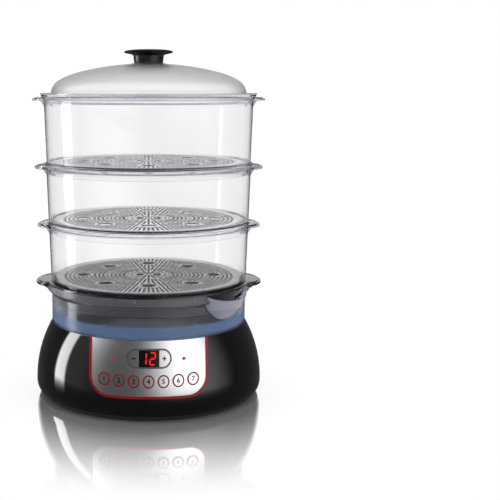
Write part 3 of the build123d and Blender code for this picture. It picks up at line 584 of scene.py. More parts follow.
def makeTank():
    s = tankShape
    facing = math.radians(s["spoutAngle"])
    collarR = s["wallR"] + s["collarOut"]

    def wallAt(z):
        t = min(max((z - s["collarLow"]) / s["collarRise"], 0.0), 1.0)
        return s["wallR"] + s["collarOut"] * t * t * (3 - 2 * t)

    def spoutAt(angle, z):
        rise = (z - s["spoutLow"]) / (s["top"] - s["spoutLow"])
        if rise <= 0:
            return 0.0
        size = spoutSwell(min(rise, 1.0))
        away = (angle - facing + math.pi) % (2 * math.pi) - math.pi
        reach = (s["spoutInset"] + s["spoutReach"]) * size
        return ovalRadius(away, 0.0, s["wallR"] - s["spoutInset"], reach, s["spoutHalf"] * size)

    def lugAt(angle, z):
        if not s["lugLow"] <= z <= s["lugHigh"]:
            return 0.0
        centre = collarR - s["lugRoot"]
        return max(ovalRadius(angle, side * math.pi / 2, centre, s["lugReach"] - centre, s["lugHalf"])
                   for side in (1, -1, -3, 3))

    heights = [s["base"] + (s["top"] - s["base"]) * i / s["rings"] for i in range(s["rings"] + 1)]
    heights += [s["lugLow"] - s["stepHeight"], s["lugLow"], s["lugHigh"], s["lugHigh"] + s["stepHeight"]]
    heights += [s["waterTop"], s["zoneTop"]]
    heights.sort()

    def lipAt(angle):
        # the lip slopes down outwards where the scoop stands proud of the collar
        r = spoutAt(angle, s["top"])
        if r <= collarR:
            return s["top"]
        slope = (s["top"] - s["spoutLip"]) / (s["wallR"] + s["spoutReach"] - collarR + s["wall"])
        return s["top"] - slope * (r - collarR)

    def outlineAt(angle):
        lip = lipAt(angle)
        squeeze = (lip - s["waterTop"]) / (s["top"] - s["waterTop"])
        outside, inside = [], []
        for z in heights:
            low = z if z <= s["waterTop"] else min(z, s["waterTop"] + (z - s["waterTop"]) * squeeze)
            outside.append((max(wallAt(low), spoutAt(angle, low), lugAt(angle, low)), low))
            floorZ = max(low, s["base"] + s["wall"])
            wallR = wallAt(floorZ + s["wall"] * s["innerRise"])
            inside.append((max(wallR, spoutAt(angle, floorZ)) - s["wall"], floorZ))
        basinR, basinFloor = s["basinR"] - s["wall"], s["basinFloor"] + s["wall"]
        basin = [(basinR, s["base"] + s["wall"]), (basinR, basinFloor), (s["plateHole"], basinFloor),
                 (s["plateHole"], s["basinFloor"]), (s["basinR"], s["basinFloor"]), (s["basinR"], s["base"])]
        return outside + inside[::-1] + basin

    spread = fan(facing, *s["spoutFan"])
    ends = fan(math.pi / 2, *s["lugFan"]) + fan(-math.pi / 2, *s["lugFan"])
    tank = lathe("tank_body", outlineAt, evenAngles(180, *spread, *ends))
    dress(tankClear, tank)
    for zone in (waterClear, collarClear, scoopClear):
        tank.data.materials.append(zone)
    for face in tank.data.polygons:
        x, y, z = face.center
        nearSpout = abs(math.atan2(x, -y) - facing) < s["proudSpread"]
        proud = nearSpout and math.hypot(x, y) > wallAt(z) + s["proudBy"]
        if z < s["waterTop"]:
            face.material_index = 1
        elif proud:
            face.material_index = 3
        elif z > s["zoneTop"]:
            face.material_index = 2
    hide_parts("water_tank")
    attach(tank, "base")


makeTank()
print("tank made")

# ---- drip tray ----
trayShape = {"rimR": 121.8 * mm, "wallR": 114.2 * mm, "wall": 1.8 * mm, "floor": 113.0 * mm,
             "floorT": 2.0 * mm, "top": 138.2 * mm, "rimT": 1.6 * mm, "gripStep": 0.7 * mm,
             "chimneyR": 34.0 * mm, "chimneyTop": 131.0 * mm, "gripT": 4.2 * mm, "capOut": 0.6 * mm,
             "capLow": 0.2 * mm, "capEdge": 1.4 * mm, "capHigh": 2.0 * mm}
gripShape = {"half": 34.0 * mm, "root": 6.0 * mm, "reach": 14.0 * mm, "plate": 1.4 * mm,
             "inset": 2.6 * mm, "thick": 3.6 * mm, "drop": 3.0 * mm, "gusset": 14.0, "gussetW": 5.0 * mm,
             "gussetH": 8.0 * mm, "gussetT": 2.0 * mm, "gussetR": 120.0 * mm, "fanCount": 36, "fanStep": 0.5}


def gripRadius(angle, wallR, inset=0.0):
    # reach of the two side grips from the axis; 0 away from them
    g = gripShape
    centre = wallR - g["root"]
    reach, half = g["root"] + g["reach"] - inset, g["half"] - inset
    return max(ovalRadius(angle, side * math.pi / 2, centre, reach, half) for side in (1, -1, -3, 3))


def gripAngles():
    g = gripShape
    web = math.degrees(g["gussetT"] / 2 / g["gussetR"])
    near = [d * g["fanStep"] for d in range(-g["fanCount"], g["fanCount"] + 1)]
    for side in (g["gusset"], -g["gusset"]):
        near += [side - web - 0.02, side - web, side, side + web, side + web + 0.02]
    return [side * math.pi / 2 + math.radians(d) for side in (1, -1) for d in near]


def makeTray():
    s, g = trayShape, gripShape
    inner = s["wallR"] - s["wall"]
    low = s["top"] - s["gripT"]
    shelf = s["top"] - s["rimT"]
    plateLow = s["top"] - g["plate"]
    floorTopZ = s["floor"] + s["floorT"]
    chimneyIn = s["chimneyR"] - s["wall"]

    def outlineAt(angle):
        lip = max(gripRadius(angle, s["rimR"]), s["rimR"])
        plate = max(gripRadius(angle, s["rimR"], g["inset"]), s["rimR"])
        gripped = lip > s["rimR"] + 1e-6
        under = low if gripped else shelf
        stepR = s["rimR"] + s["gripStep"] if gripped else s["rimR"]
        corners = [(s["chimneyR"], s["floor"], 0.8 * mm), (s["wallR"], s["floor"], 2.0 * mm),
                   (s["wallR"], shelf, 0), (stepR, shelf, 0), (stepR, under, 0), (lip, under, 0.5 * mm),
                   (lip, max(plateLow, under), 0.4 * mm), (plate, plateLow, 0.2 * mm),
                   (plate, s["top"], 0.4 * mm), (inner, s["top"], 0.5 * mm), (inner, floorTopZ, 1.5 * mm),
                   (s["chimneyR"] + s["wall"], floorTopZ, 1.0 * mm),
                   (s["chimneyR"], s["chimneyTop"], 0.5 * mm), (chimneyIn, s["chimneyTop"], 0.3 * mm),
                   (chimneyIn, s["floor"], 0.3 * mm)]
        return softOutline(corners, 3)

    tray = lathe("drip_tray_body", outlineAt, evenAngles(180, *gripAngles()))
    capR = s["chimneyR"] + s["capOut"]
    capLow, capEdge, capHigh = (s["chimneyTop"] + s[key] for key in ("capLow", "capEdge", "capHigh"))
    capCorners = [(0, capLow, 0), (capR, capLow, 0.5 * mm), (capR, capEdge, 0.6 * mm), (0, capHigh, 0)]
    cap = turned("drip_tray_cap", capCorners, 96)
    dress(traySmoke, tray, cap)
    for piece in (tray, cap):
        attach(piece, "drip_tray")
    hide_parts("drip_tray")


makeTray()
print("drip tray made")

# ---- bowls ----
bowlShape = {"flares": (2.0 * mm, 1.8 * mm, 3.0 * mm), "wall": 1.8 * mm, "rimW": 3.2 * mm, "draft": 0.031,
             "step": 1.6 * mm, "flareH": 5.5 * mm, "skirtGap": 0.35 * mm, "skirtDepth": 12.5 * mm,
             "ledgeW": 3.2 * mm, "ledgeT": 1.5 * mm, "footSeat": 3.0 * mm,
             "rims": (1.6 * mm, 4.0 * mm, 4.0 * mm), "webProud": 0.05 * mm, "gripProud": 0.2 * mm,
             "slack": 0.1 * mm, "level": 0.6}


def bowlPlaces():
    # heights and radii of the three bowls, read from the frame
    s = bowlShape
    places = []
    for k in range(3):
        low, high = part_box(f"bowl_{k + 1}")
        rimR = high.y
        foot = low.z + s["skirtDepth"]
        footR = rimR - s["flares"][k] - (high.z - foot) * s["draft"]
        bend = high.z - s["flareH"]
        if k == 0:
            skirtR = trayShape["wallR"] - trayShape["wall"] - s["skirtGap"]
        else:
            skirtR = places[-1]["bendR"] - s["wall"] - s["skirtGap"]
        places.append({"rim": high.z, "rimR": rimR, "foot": foot, "footR": footR, "bend": bend,
                       "bendR": footR + (bend - foot) * s["draft"], "skirtLow": low.z, "skirtR": skirtR,
                       "skirtLowR": skirtR - s["skirtDepth"] * s["draft"]})
    return places


bowls = bowlPlaces()


def floorTop(k):
    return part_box(f"floor_{k + 1}")[1].z


def makeBowl(k):
    s, g, b = bowlShape, gripShape, bowls[k]
    w, draft = s["wall"], s["draft"]
    gripTop = b["rim"] - g["drop"]
    gripLow = gripTop - g["thick"]
    plateLow = gripTop - g["plate"]
    webLow = gripLow - g["gussetH"]
    gripR = b["footR"] + (gripTop - b["foot"]) * draft
    web = g["gussetT"] / 2 / g["gussetR"]
    seat = floorTop(k) - s["rims"][k] if k else b["skirtLow"] + s["footSeat"]
    seatR = b["skirtLowR"] + (seat - b["skirtLow"]) * draft - w
    ledgeR = seatR - s["ledgeW"] if k else seatR
    ledgeLow, ledgeFillet = seat - s["ledgeT"], 0.3 * mm if k else 0

    def wallAt(z):
        if z <= b["bend"]:
            return b["footR"] + (z - b["foot"]) * draft
        return b["bendR"] + (b["rimR"] - b["bendR"]) * min((z - b["bend"]) / (s["flareH"] - w), 1.0)

    def outlineAt(angle):
        off = min(abs(angle - side * math.pi / 2 - math.radians(t)) for side in (1, 3)
                  for t in (g["gusset"], -g["gusset"]))
        webR = wallAt(gripLow) + (g["gussetW"] if off <= web + 1e-5 else 0.0)
        lipR = max(gripRadius(angle, gripR), wallAt(gripLow))
        plateR = max(gripRadius(angle, gripR, g["inset"]), wallAt(plateLow))
        corners = [(b["skirtLowR"], b["skirtLow"], 0.4 * mm), (b["skirtR"], b["foot"], 0.2 * mm),
                   (b["footR"], b["foot"], 0.5 * mm), (wallAt(webLow), webLow, 0),
                   (webR, gripLow, 0), (max(lipR, webR), gripLow, 0.4 * mm),
                   (max(lipR, wallAt(plateLow)), plateLow, 0.3 * mm), (plateR, plateLow, 0),
                   (max(plateR, wallAt(gripTop)), gripTop, 0.3 * mm), (wallAt(gripTop), gripTop, 0),
                   (b["rimR"], b["rim"] - w, 0.5 * mm), (b["rimR"], b["rim"], 0.5 * mm),
                   (b["rimR"] - s["rimW"], b["rim"], 0.5 * mm), (b["bendR"] - w, b["bend"], 1.5 * mm),
                   (b["footR"] - w, b["foot"] + s["step"], 0.8 * mm),
                   (b["skirtR"] - w, b["foot"] + s["step"], 0.6 * mm),
                   (seatR, seat, 0), (ledgeR, seat, ledgeFillet), (ledgeR, ledgeLow, ledgeFillet),
                   (seatR, ledgeLow, 0), (b["skirtLowR"] - w, b["skirtLow"], 0.4 * mm)]
        return softOutline(corners, 3)

    bowl = lathe(f"bowl_{k + 1}_body", outlineAt, evenAngles(192, *gripAngles()))
    dress(bowlClear, bowl)
    bowl.data.materials.append(webShadeClear)
    bowl.data.materials.append(gripShadeClear)
    bowl.data.materials.append(ledgeClear)
    slack = s["slack"]
    for face in bowl.data.polygons:
        x, y, z = face.center
        out = math.hypot(x, y) - wallAt(z)
        lowOrHigh = z < b["foot"] + s["step"] + slack or z > b["bend"] + 2 * slack
        # gusset faces get the dark tint, painted shade under the grips
        if out > s["webProud"] and webLow < z < gripLow:
            face.material_index = 1
        # grip faces get the greyer clear, painted shade
        elif out > s["gripProud"] and gripLow - slack < z < gripTop + slack:
            face.material_index = 2
        elif lowOrHigh or abs(face.normal.z) > s["level"]:
            face.material_index = 3
    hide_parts(f"bowl_{k + 1}")
    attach(bowl, f"bowl_{k + 1}")


for tier in range(3):
    makeBowl(tier)
print("bowls made")

# ---- lift-out floors ----
floorShape = {"pitch": 4.9 * mm, "ringStep": 5.0 * mm, "firstRing": 5.5 * mm, "rings": 20, "ringGroup": 5,
              "holeLong": 4.0 * mm, "holeWide": 2.6 * mm, "holeApart": 1.0 * mm, "holeGap": 0.8 * mm,
              "cupR": 8.8 * mm, "cupDepth": 5.0 * mm, "cupThin": 0.8, "cupLap": 0.2 * mm, "sheet": 1.6 * mm,
              "edgeIn": 108.8 * mm, "edgeLap": 0.05 * mm, "edgeSkin": 0.2 * mm, "dots": 140,
              "bandShare": 0.82, "dotShares": (0.3, 0.55), "hemW": 2.2 * mm, "hemSkin": 1.0 * mm,
              "fingerR": 4.4 * mm, "fingerAt": 11.0 * mm, "fingerWall": 1.0 * mm}
# the egg cups stand on an oval, a little off the middle
eggPlaces = [(x * mm, y * mm) for x, y in ((0, -66), (50, -51), (79, 0), (49, 53), (0, 75), (-49, 53),
                                           (-79, 0), (-50, -51))]


def addLoop(curve, points):
    spline = curve.splines.new("POLY")
    spline.points.add(len(points) - 1)
    for point, (x, y) in zip(spline.points, points):
        point.co = (x, y, 0, 1)
    spline.use_cyclic_u = True


def ringPoints(x, y, radius, count):
    turns = [2 * math.pi * i / count for i in range(count)]
    return [(x + radius * math.cos(turn), y + radius * math.sin(turn)) for turn in turns]


def around(radius, angle):
    return radius * math.sin(angle), -radius * math.cos(angle)


def slotPoints(radius, angle, long, wide):
    # six-sided hole that points at the axis
    half, tip = wide / 2, long / 2 - wide / 4
    shape = ((long / 2, 0), (tip, half), (-tip, half), (-long / 2, 0), (-tip, -half), (tip, -half))
    middleX, middleY = around(1.0, angle)
    return [(middleX * (radius + out) - middleY * side, middleY * (radius + out) + middleX * side)
            for out, side in shape]


def sheetFrom(name, loops, thick):
    # flat sheet whose first loop is its outside and whose other loops are holes, top face at zero height
    curve = bpy.data.curves.new(name, "CURVE")
    curve.dimensions = "2D"
    curve.fill_mode = "BOTH"
    curve.extrude = thick / 2
    for loop in loops:
        addLoop(curve, loop)
    plan = bpy.data.objects.new(name, curve)
    scene.collection.objects.link(plan)
    bpy.context.view_layer.update()
    mesh = bpy.data.meshes.new_from_object(plan.evaluated_get(bpy.context.evaluated_depsgraph_get()))
    bpy.data.objects.remove(plan)
    mesh.transform(Matrix.Translation((0, 0, -thick / 2)))
    finished(mesh, 30.0, 1e-7)
    return mesh


def steamHoles():
    # rings of small holes that point at the axis, left out round the cups and finger holes; the rings of
    # one group have the same count, so that their holes line up
    s = floorShape
    taken = [(x, y, s["cupR"]) for x, y in eggPlaces]
    taken += [(side * s["fingerAt"], 0.0, s["fingerR"] + s["fingerWall"]) for side in (-1, 1)]
    clear = s["holeLong"] / 2 + s["holeGap"]
    for ring in range(s["rings"]):
        radius = s["firstRing"] + ring * s["ringStep"]
        middle = s["firstRing"] + (ring - ring % s["ringGroup"] + s["ringGroup"] // 2) * s["ringStep"]
        room = int(2 * math.pi * radius / (s["holeWide"] + s["holeApart"]))
        count = min(room, round(2 * math.pi * middle / s["pitch"]))
        for i in range(count):
            angle = 2 * math.pi * i / count
            x, y = around(radius, angle)
            if min(math.hypot(x - cx, y - cy) - r for cx, cy, r in taken) > clear:
                yield slotPoints(radius, angle, s["holeLong"], s["holeWide"])


def makePlate():
    # the walls of the steam holes are painted dark, as painted shade for the shadow inside each hole; those
    # of the cups and the outside stay clear
    s = floorShape
    loops = [ringPoints(0, 0, s["edgeIn"], 192)]
    loops += [ringPoints(x, y, s["cupR"] - s["cupLap"], 32) for x, y in eggPlaces]
    loops += [ringPoints(side * s["fingerAt"], 0, s["fingerR"], 24) for side in (-1, 1)]
    loops += list(steamHoles())
    plate = sheetFrom("floor_plate", loops, s["sheet"])
    plate.materials.append(floorClear)
    plate.materials.append(holePaintedShade)
    for face in plate.polygons:
        x, y, z = face.center
        atCup = min(math.hypot(x - cx, y - cy) for cx, cy in eggPlaces) < s["cupR"]
        atEdge = math.hypot(x, y) > s["edgeIn"] - s["edgeSkin"]
        face.material_index = int(abs(face.normal.z) < 0.5 and not atCup and not atEdge)
    return plate


def eggCup(name, x, y, top):
    # shallow round dish let into the sheet
    s = floorShape
    ball = (s["cupR"] ** 2 + s["cupDepth"] ** 2) / (2 * s["cupDepth"])
    centre = top - s["cupDepth"] + ball
    shell = ball + s["sheet"] * s["cupThin"]
    spans = [math.asin(s["cupR"] / ball) * i / 8 for i in range(9)]
    inner = [(ball * math.sin(t), centre - ball * math.cos(t), 0) for t in spans]
    outer = [(shell * math.sin(t), centre - shell * math.cos(t), 0) for t in spans]
    cup = turned(name, outer + inner[::-1], 40)
    cup.data.transform(Matrix.Translation((x, y, 0)))
    return cup


def makeEdge(name, outerR, top, hem):
    # hanging hem of a floor, with a dark band round its outside and a row of light dots in it
    s = floorShape
    innerR, shelf = s["edgeIn"] - s["edgeLap"], top - s["sheet"]
    bandLow = top - hem * s["bandShare"]
    dotHigh, dotLow = (top - hem * share for share in s["dotShares"])
    corners = [(innerR, shelf, 0), (outerR - s["hemW"], shelf, 0), (outerR - s["hemW"], top - hem, 0),
               (outerR, top - hem, 0.2 * mm), (outerR, bandLow, 0), (outerR, dotLow, 0),
               (outerR, dotHigh, 0), (outerR, top, 0.3 * mm), (innerR, top, 0)]
    edge = turned(name, corners, s["dots"] * 3, 2)
    edge.data.materials.append(floorClear)
    edge.data.materials.append(floorEdge)
    for face in edge.data.polygons:
        x, y, z = face.center
        sector = int((math.atan2(x, -y) % (2 * math.pi)) / (2 * math.pi) * s["dots"] * 3)
        outside = abs(face.normal.z) < 0.8 and math.hypot(x, y) > outerR - s["hemSkin"]
        dot = sector % 3 == 0 and dotLow < z < dotHigh
        face.material_index = int(outside and z > bandLow and not dot)
    return edge


plateMesh = makePlate()


def makeFloor(k):
    s = floorShape
    tag = f"floor_{k + 1}"
    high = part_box(tag)[1]
    plate = linked(f"{tag}_plate", plateMesh.copy())
    plate.data.transform(Matrix.Translation((0, 0, high.z)))
    pieces = [plate, makeEdge(f"{tag}_edge", high.y, high.z, bowlShape["rims"][k])]
    for i, (x, y) in enumerate(eggPlaces):
        cup = eggCup(f"{tag}_cup_{i + 1}", x, y, high.z)
        dress(cupClear, cup)
        pieces.append(cup)
    holeR, collarR = s["fingerR"] - s["edgeLap"], s["fingerR"] + s["fingerWall"]
    shelf = high.z - s["sheet"]
    for i, side in enumerate((-1, 1)):
        corners = [(holeR, shelf, 0.2 * mm), (collarR, shelf, 0.2 * mm), (collarR, high.z, 0),
                   (holeR, high.z, 0.5 * mm)]
        collar = turned(f"{tag}_finger_{i + 1}", corners, 32)
        collar.data.transform(Matrix.Translation((side * s["fingerAt"], 0, 0)))
        dress(cupClear, collar)
        pieces.append(collar)
    for piece in pieces:
        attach(piece, tag)
    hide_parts(tag)


for tier in range(3):
    makeFloor(tier)
print("floors made")

# ---- lid ----
lidShape = {"flangeR": 127.3 * mm, "flangeT": 1.8 * mm, "wall": 2.0 * mm, "domeR": 114.9 * mm,
            "lift": 0.5 * mm, "cornerR": 18.7 * mm, "cornerTurn": 60.5, "shoulderR": 93.0 * mm,
            "shoulderTurn": 15.1, "skirtH": 6.0 * mm, "skirtGap": 0.5 * mm, "seatR": 19.0 * mm,
            "seatT": 0.3 * mm, "rootOut": 0.9 * mm, "rootHigh": 0.8 * mm, "edgeSkin": 0.6 * mm,
            "skirtSkin": 0.2 * mm}


def domeArcs(shrink, low, steps):
    s = lidShape
    turnA, turnB = s["cornerTurn"], s["cornerTurn"] + s["shoulderTurn"]
    a, b = math.radians(turnA), math.radians(turnB)
    centre = (s["domeR"] - s["cornerR"] + (s["cornerR"] - s["shoulderR"]) * math.cos(a),
              low + (s["cornerR"] - s["shoulderR"]) * math.sin(a))
    crownR = s["shoulderR"] + centre[0] / math.cos(b)
    crownZ = centre[1] - centre[0] * math.tan(b)
    points = arc(s["domeR"] - s["cornerR"], low, s["cornerR"] - shrink, 0, turnA, steps)
    points += arc(*centre, s["shoulderR"] - shrink, turnA, turnB, steps // 2)[1:]
    points += arc(0, crownZ, crownR - shrink, turnB, 90, steps * 2)[1:]
    return points


def makeLid():
    s, b = lidShape, bowls[2]
    low = b["rim"]
    base = low + s["lift"]
    flangeTop, skirtLow = low + s["flangeT"], low - s["skirtH"]
    outer = domeArcs(0.0, base, 16)
    inner = domeArcs(s["wall"], base, 16)
    seatTop = outer[-1][1] + s["seatT"]
    bowlR = b["footR"] + (skirtLow - b["foot"]) * bowlShape["draft"]
    skirtR = bowlR - bowlShape["wall"] - s["skirtGap"]
    corners = [(s["flangeR"], low, 0.4 * mm), (s["flangeR"], flangeTop, 0.5 * mm),
               (s["domeR"] + s["rootOut"], flangeTop, 0.8 * mm)]
    corners += [(r, z, 0) for r, z, _ in outer if z > flangeTop + s["rootHigh"] and r > s["seatR"]]
    corners += [(s["seatR"], seatTop, 0), (0, seatTop, 0)]
    corners += [(max(r, 0.0), z, 0) for r, z, _ in reversed(inner)]
    corners += [(skirtR - s["wall"], skirtLow, 0.4 * mm), (skirtR, skirtLow, 0.4 * mm),
                (skirtR, low, 0.3 * mm)]
    lid = turned("lid_body", corners, 224)
    dress(lidFrost, lid)
    lid.data.materials.append(gripShadeClear)
    # the flange's outer edge and the skirt under it get the greyer clear, painted shade
    for face in lid.data.polygons:
        x, y, z = face.center
        atEdge = math.hypot(x, y) > s["flangeR"] - s["edgeSkin"]
        face.material_index = int(atEdge or z < low - s["skirtSkin"])
    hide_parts("lid_dome")
    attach(lid, "lid")


makeLid()
print("lid made")

# ---- knob ----
knobShape = {"stemLow": 17.0 * mm, "stemHigh": 18.0 * mm, "neck": 9.3 * mm, "discR": 28.8 * mm,
             "under": 2.6 * mm, "edge": 0.8 * mm, "crown": 3.1 * mm, "crownPower": 3.5,
             "stemSkin": 0.5 * mm}


def makeKnob():
    s = knobShape
    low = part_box("lid_knob")[0]
    neck = low.z + s["neck"]
    edge = neck + s["under"] + s["edge"]
    peak = edge + s["crown"]
    shares = [1 - (i / 16) ** 1.5 for i in range(1, 16)]
    crown = [(s["discR"] * t, edge + s["crown"] * math.sqrt(1 - t ** s["crownPower"]), 0) for t in shares]
    corners = [(0, low.z, 0), (s["stemLow"], low.z, 0.5 * mm), (s["stemHigh"], neck, 2.2 * mm),
               (s["discR"], neck + s["under"], 0.35 * mm), (s["discR"], edge, 0), *crown, (0, peak, 0)]
    knob = turned("knob_body", corners, 128, 6)
    dress(knobBlack, knob)
    knob.data.materials.append(stemBlack)
    for face in knob.data.polygons:
        face.material_index = int(face.center.z < neck - s["stemSkin"])
    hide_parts("lid_knob")
    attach(knob, "lid")


makeKnob()
print("knob made")

# ---- display digits and key marks ----
markShape = {"displayX": 0.5 * mm, "displayZ": 71.0 * mm, "digitH": 12.3 * mm, "digitW": 5.6 * mm,
             "stroke": 1.6 * mm, "gap": 0.18 * mm, "lean": 0.05, "digitProud": 0.45 * mm,
             "digitT": 0.25 * mm, "timeKeyOut": 17.0 * mm, "signLong": 4.4 * mm, "signWide": 1.3 * mm,
             "signHalf": 1.5 * mm, "signOut": 1.45 * mm, "markProud": 0.08 * mm, "markT": 0.2 * mm,
             "keyProud": 0.4 * mm, "keyPitch": 16.5 * mm, "keyZ": 46.8 * mm, "keyBow": 1.2 * mm,
             "numberSize": 7.6 * mm, "numberT": 0.1 * mm, "numberSwell": 0.14 * mm}
digitPlaces = (("1", -6.0 * mm), ("2", 3.9 * mm))
segments = {"1": "bc", "2": "abged"}


def faceY(x, z, proud):
    # front of the flared housing at a front-view place
    r = housingRadius(z) + proud
    return -math.sqrt(max(r * r - x * x, 0.0))


def facePlate(name, outlines, proud, depth):
    # thin plates from front-view outlines, laid on the flared front
    verts, faces = [], []
    for outline in outlines:
        start = len(verts)
        count = len(outline)
        for extra in (0.0, -depth):
            verts += [(x, faceY(x, z, proud + extra), z) for x, z in outline]
        faces.append([start + i for i in range(count)])
        faces.append([start + count + i for i in reversed(range(count))])
        faces += [[start + i, start + (i + 1) % count, start + count + (i + 1) % count, start + count + i]
                  for i in range(count)]
    mesh = bpy.data.meshes.new(name)
    mesh.from_pydata(verts, [], faces)
    finished(mesh, 30.0)
    return linked(name, mesh)


def segmentOutline(letter, cx, cz):
    s = markShape
    w, h, t = s["digitW"] / 2, s["digitH"] / 2, s["stroke"] / 2
    spans = {"a": ((-w, h), (w, h)), "b": ((w, h), (w, 0)), "c": ((w, 0), (w, -h)),
             "d": ((-w, -h), (w, -h)), "e": ((-w, 0), (-w, -h)), "g": ((-w, 0), (w, 0))}
    (ax, az), (bx, bz) = spans[letter]
    a, b = Vector((ax, az)), Vector((bx, bz))
    along = (b - a).normalized()
    side = Vector((-along.y, along.x))
    a, b = a + along * s["gap"], b - along * s["gap"]
    points = [a, a + along * t + side * t, b - along * t + side * t,
              b, b - along * t - side * t, a + along * t - side * t]
    return [(cx + p.x + p.y * s["lean"], cz + p.y) for p in points]


def barOutline(cx, cz, wide, high):
    corners = ((-1, -1), (1, -1), (1, 1), (-1, 1))
    return [(cx + side * wide / 2, cz + up * high / 2) for side, up in corners]


def makeDigits():
    s = markShape
    outlines = [segmentOutline(letter, s["displayX"] + x, s["displayZ"])
                for digit, x in digitPlaces for letter in segments[digit]]
    digits = facePlate("display_digits", outlines, s["digitProud"], s["digitT"])
    dress(digitRed, digits)
    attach(digits, "base")


def makeTimeMarks():
    s = markShape
    z = s["displayZ"]
    for name, side in (("minus_button", -1), ("plus_button", 1)):
        x = s["displayX"] + side * s["timeKeyOut"]
        outlines = [barOutline(x, z, s["signLong"], s["signWide"])]
        if side > 0:
            outlines += [barOutline(x, z + up * s["signOut"], s["signWide"], s["signHalf"])
                         for up in (1, -1)]
        proud = s["keyProud"] + s["markProud"]
        mark = facePlate(name.replace("button", "mark"), outlines, proud, s["markT"])
        dress(markBlack, mark)
        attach(mark, name)


def makeKeyNumbers():
    s = markShape
    for i in range(7):
        name = f"preset_button_{i + 1}"
        step = i - 3
        x, z = step * s["keyPitch"], s["keyZ"] + s["keyBow"] * (step / 3) ** 2
        curve = bpy.data.curves.new("keyNumber", "FONT")
        curve.body = str(i + 1)
        curve.size = s["numberSize"]
        curve.align_x = "CENTER"
        curve.align_y = "CENTER"
        curve.extrude = s["numberT"]
        curve.offset = s["numberSwell"]
        curve.resolution_u = 3
        text = bpy.data.objects.new("keyNumber", curve)
        scene.collection.objects.link(text)
        bpy.context.view_layer.update()
        graph = bpy.context.evaluated_depsgraph_get()
        mesh = bpy.data.meshes.new_from_object(text.evaluated_get(graph))
        bpy.data.objects.remove(text)
        mesh.name = f"key_number_{i + 1}"
        for vertex in mesh.vertices:
            px, pz, out = x + vertex.co.x, z + vertex.co.y, vertex.co.z
            vertex.co = (px, faceY(px, pz, s["keyProud"] + out), pz)
        finished(mesh, 30.0)
        number = linked(mesh.name, mesh)
        dress(markBlack, number)
        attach(number, name)


makeDigits()
makeTimeMarks()
makeKeyNumbers()
print("marks made")

# ---- floor, world and lamps ----
studio = {"ambient": 0.66, "side": 0.09, "white": 0.93, "floorSize": 14.0, "floorRough": 0.6,
          "floorShine": 0.2, "fadeFrom": 0.138, "fadeTo": 0.2, "mirror": 0.84, "mirrorRough": 0.05,
          "mirrorNear": 0.14, "mirrorFar": 0.35, "openFrom": 0.17, "openTo": 0.5, "backFrom": 156.0,
          "backSoft": 16.0, "backLow": 0.5, "backHigh": 0.75, "backFoot": 0.04, "backRise": 0.16,
          "throughFrom": -0.1, "throughTo": 0.2, "bandFoot": -0.36, "bandRise": -0.06, "bandLow": 0.8,
          "bandHigh": 0.97, "lampAim": (0.0, 0.0, 0.2)}
# soft upright bands of light that only reflections show: azimuth from the front towards +X, in degrees
bands = (
    {"azimuth": -101.0, "half": 6.0, "soft": 3.5, "strength": 11.5},
    {"azimuth": -82.0, "half": 6.0, "soft": 30.0, "strength": 0.4},
    {"azimuth": 46.0, "half": 9.0, "soft": 44.0, "strength": 2.0},
)
lamps = (
    {"name": "topBox", "azimuth": 170.0, "distance": 0.3, "height": 1.5, "size": (1.2, 1.2), "power": 9.0},
    {"name": "rightBox", "azimuth": 50.0, "distance": 1.3, "height": 0.9, "size": (0.8, 0.9), "power": 7.0},
    {"name": "leftBox", "azimuth": -80.0, "distance": 1.3, "height": 0.6, "size": (0.5, 0.9), "power": 5.0},
)


def addFloor():
    s = studio
    half = s["floorSize"] / 2
    mesh = bpy.data.meshes.new("studio_floor")
    mesh.from_pydata([(-half, -half, 0), (half, -half, 0), (half, half, 0), (-half, half, 0)], [],
                     [(0, 1, 2, 3)])
    floor = linked("studio_floor", mesh)
    material, tree, shader, out = blankMaterial("studioWhite")
    shader.inputs["Base Color"].default_value = (s["white"],) * 3 + (1.0,)
    shader.inputs["Roughness"].default_value = s["floorRough"]
    shader.inputs["Specular IOR Level"].default_value = s["floorShine"]
    place = newNode(tree, "ShaderNodeVectorMath", operation="LENGTH")
    tree.links.new(newNode(tree, "ShaderNodeTexCoord").outputs["Object"], place.inputs[0])
    distance = place.outputs["Value"]
    path = newNode(tree, "ShaderNodeLightPath")
    # away from the part the floor fades to plain white, and close to it it is a soft mirror
    glow = newNode(tree, "ShaderNodeEmission")
    seen = maths(tree, "MAXIMUM", path.outputs["Is Camera Ray"], path.outputs["Is Transmission Ray"])
    faded = maths(tree, "MULTIPLY", ranged(tree, distance, s["fadeFrom"], s["fadeTo"]), seen)
    near = mixShader(tree, faded, shader.outputs[0], glow.outputs[0])
    mirror = newNode(tree, "ShaderNodeBsdfGlossy")
    mirror.inputs["Roughness"].default_value = s["mirrorRough"]
    mirror.inputs["Color"].default_value = (1.0, 1.0, 1.0, 1.0)
    share = ranged(tree, distance, s["mirrorNear"], s["mirrorFar"], s["mirror"], 0.0)
    shiny = mixShader(tree, share, near, mirror.outputs[0])
    # reflections in the part see a dim floor that opens into the world
    dim = newNode(tree, "ShaderNodeEmission")
    dim.inputs["Strength"].default_value = s["side"]
    clear = newNode(tree, "ShaderNodeBsdfTransparent")
    opening = mixShader(tree, ranged(tree, distance, s["openFrom"], s["openTo"]), dim.outputs[0],
                        clear.outputs[0])
    bounced = maths(tree, "SUBTRACT", path.outputs["Is Glossy Ray"], path.outputs["Is Transmission Ray"],
                    clamp=True)
    tree.links.new(mixShader(tree, bounced, shiny, opening), out.inputs["Surface"])
    floor.data.materials.append(material)


def background(tree, strength):
    made = newNode(tree, "ShaderNodeBackground")
    made.inputs["Color"].default_value = (1.0, 1.0, 1.0, 1.0)
    if isinstance(strength, (int, float)):
        made.inputs["Strength"].default_value = strength
    else:
        tree.links.new(strength, made.inputs["Strength"])
    return made.outputs[0]


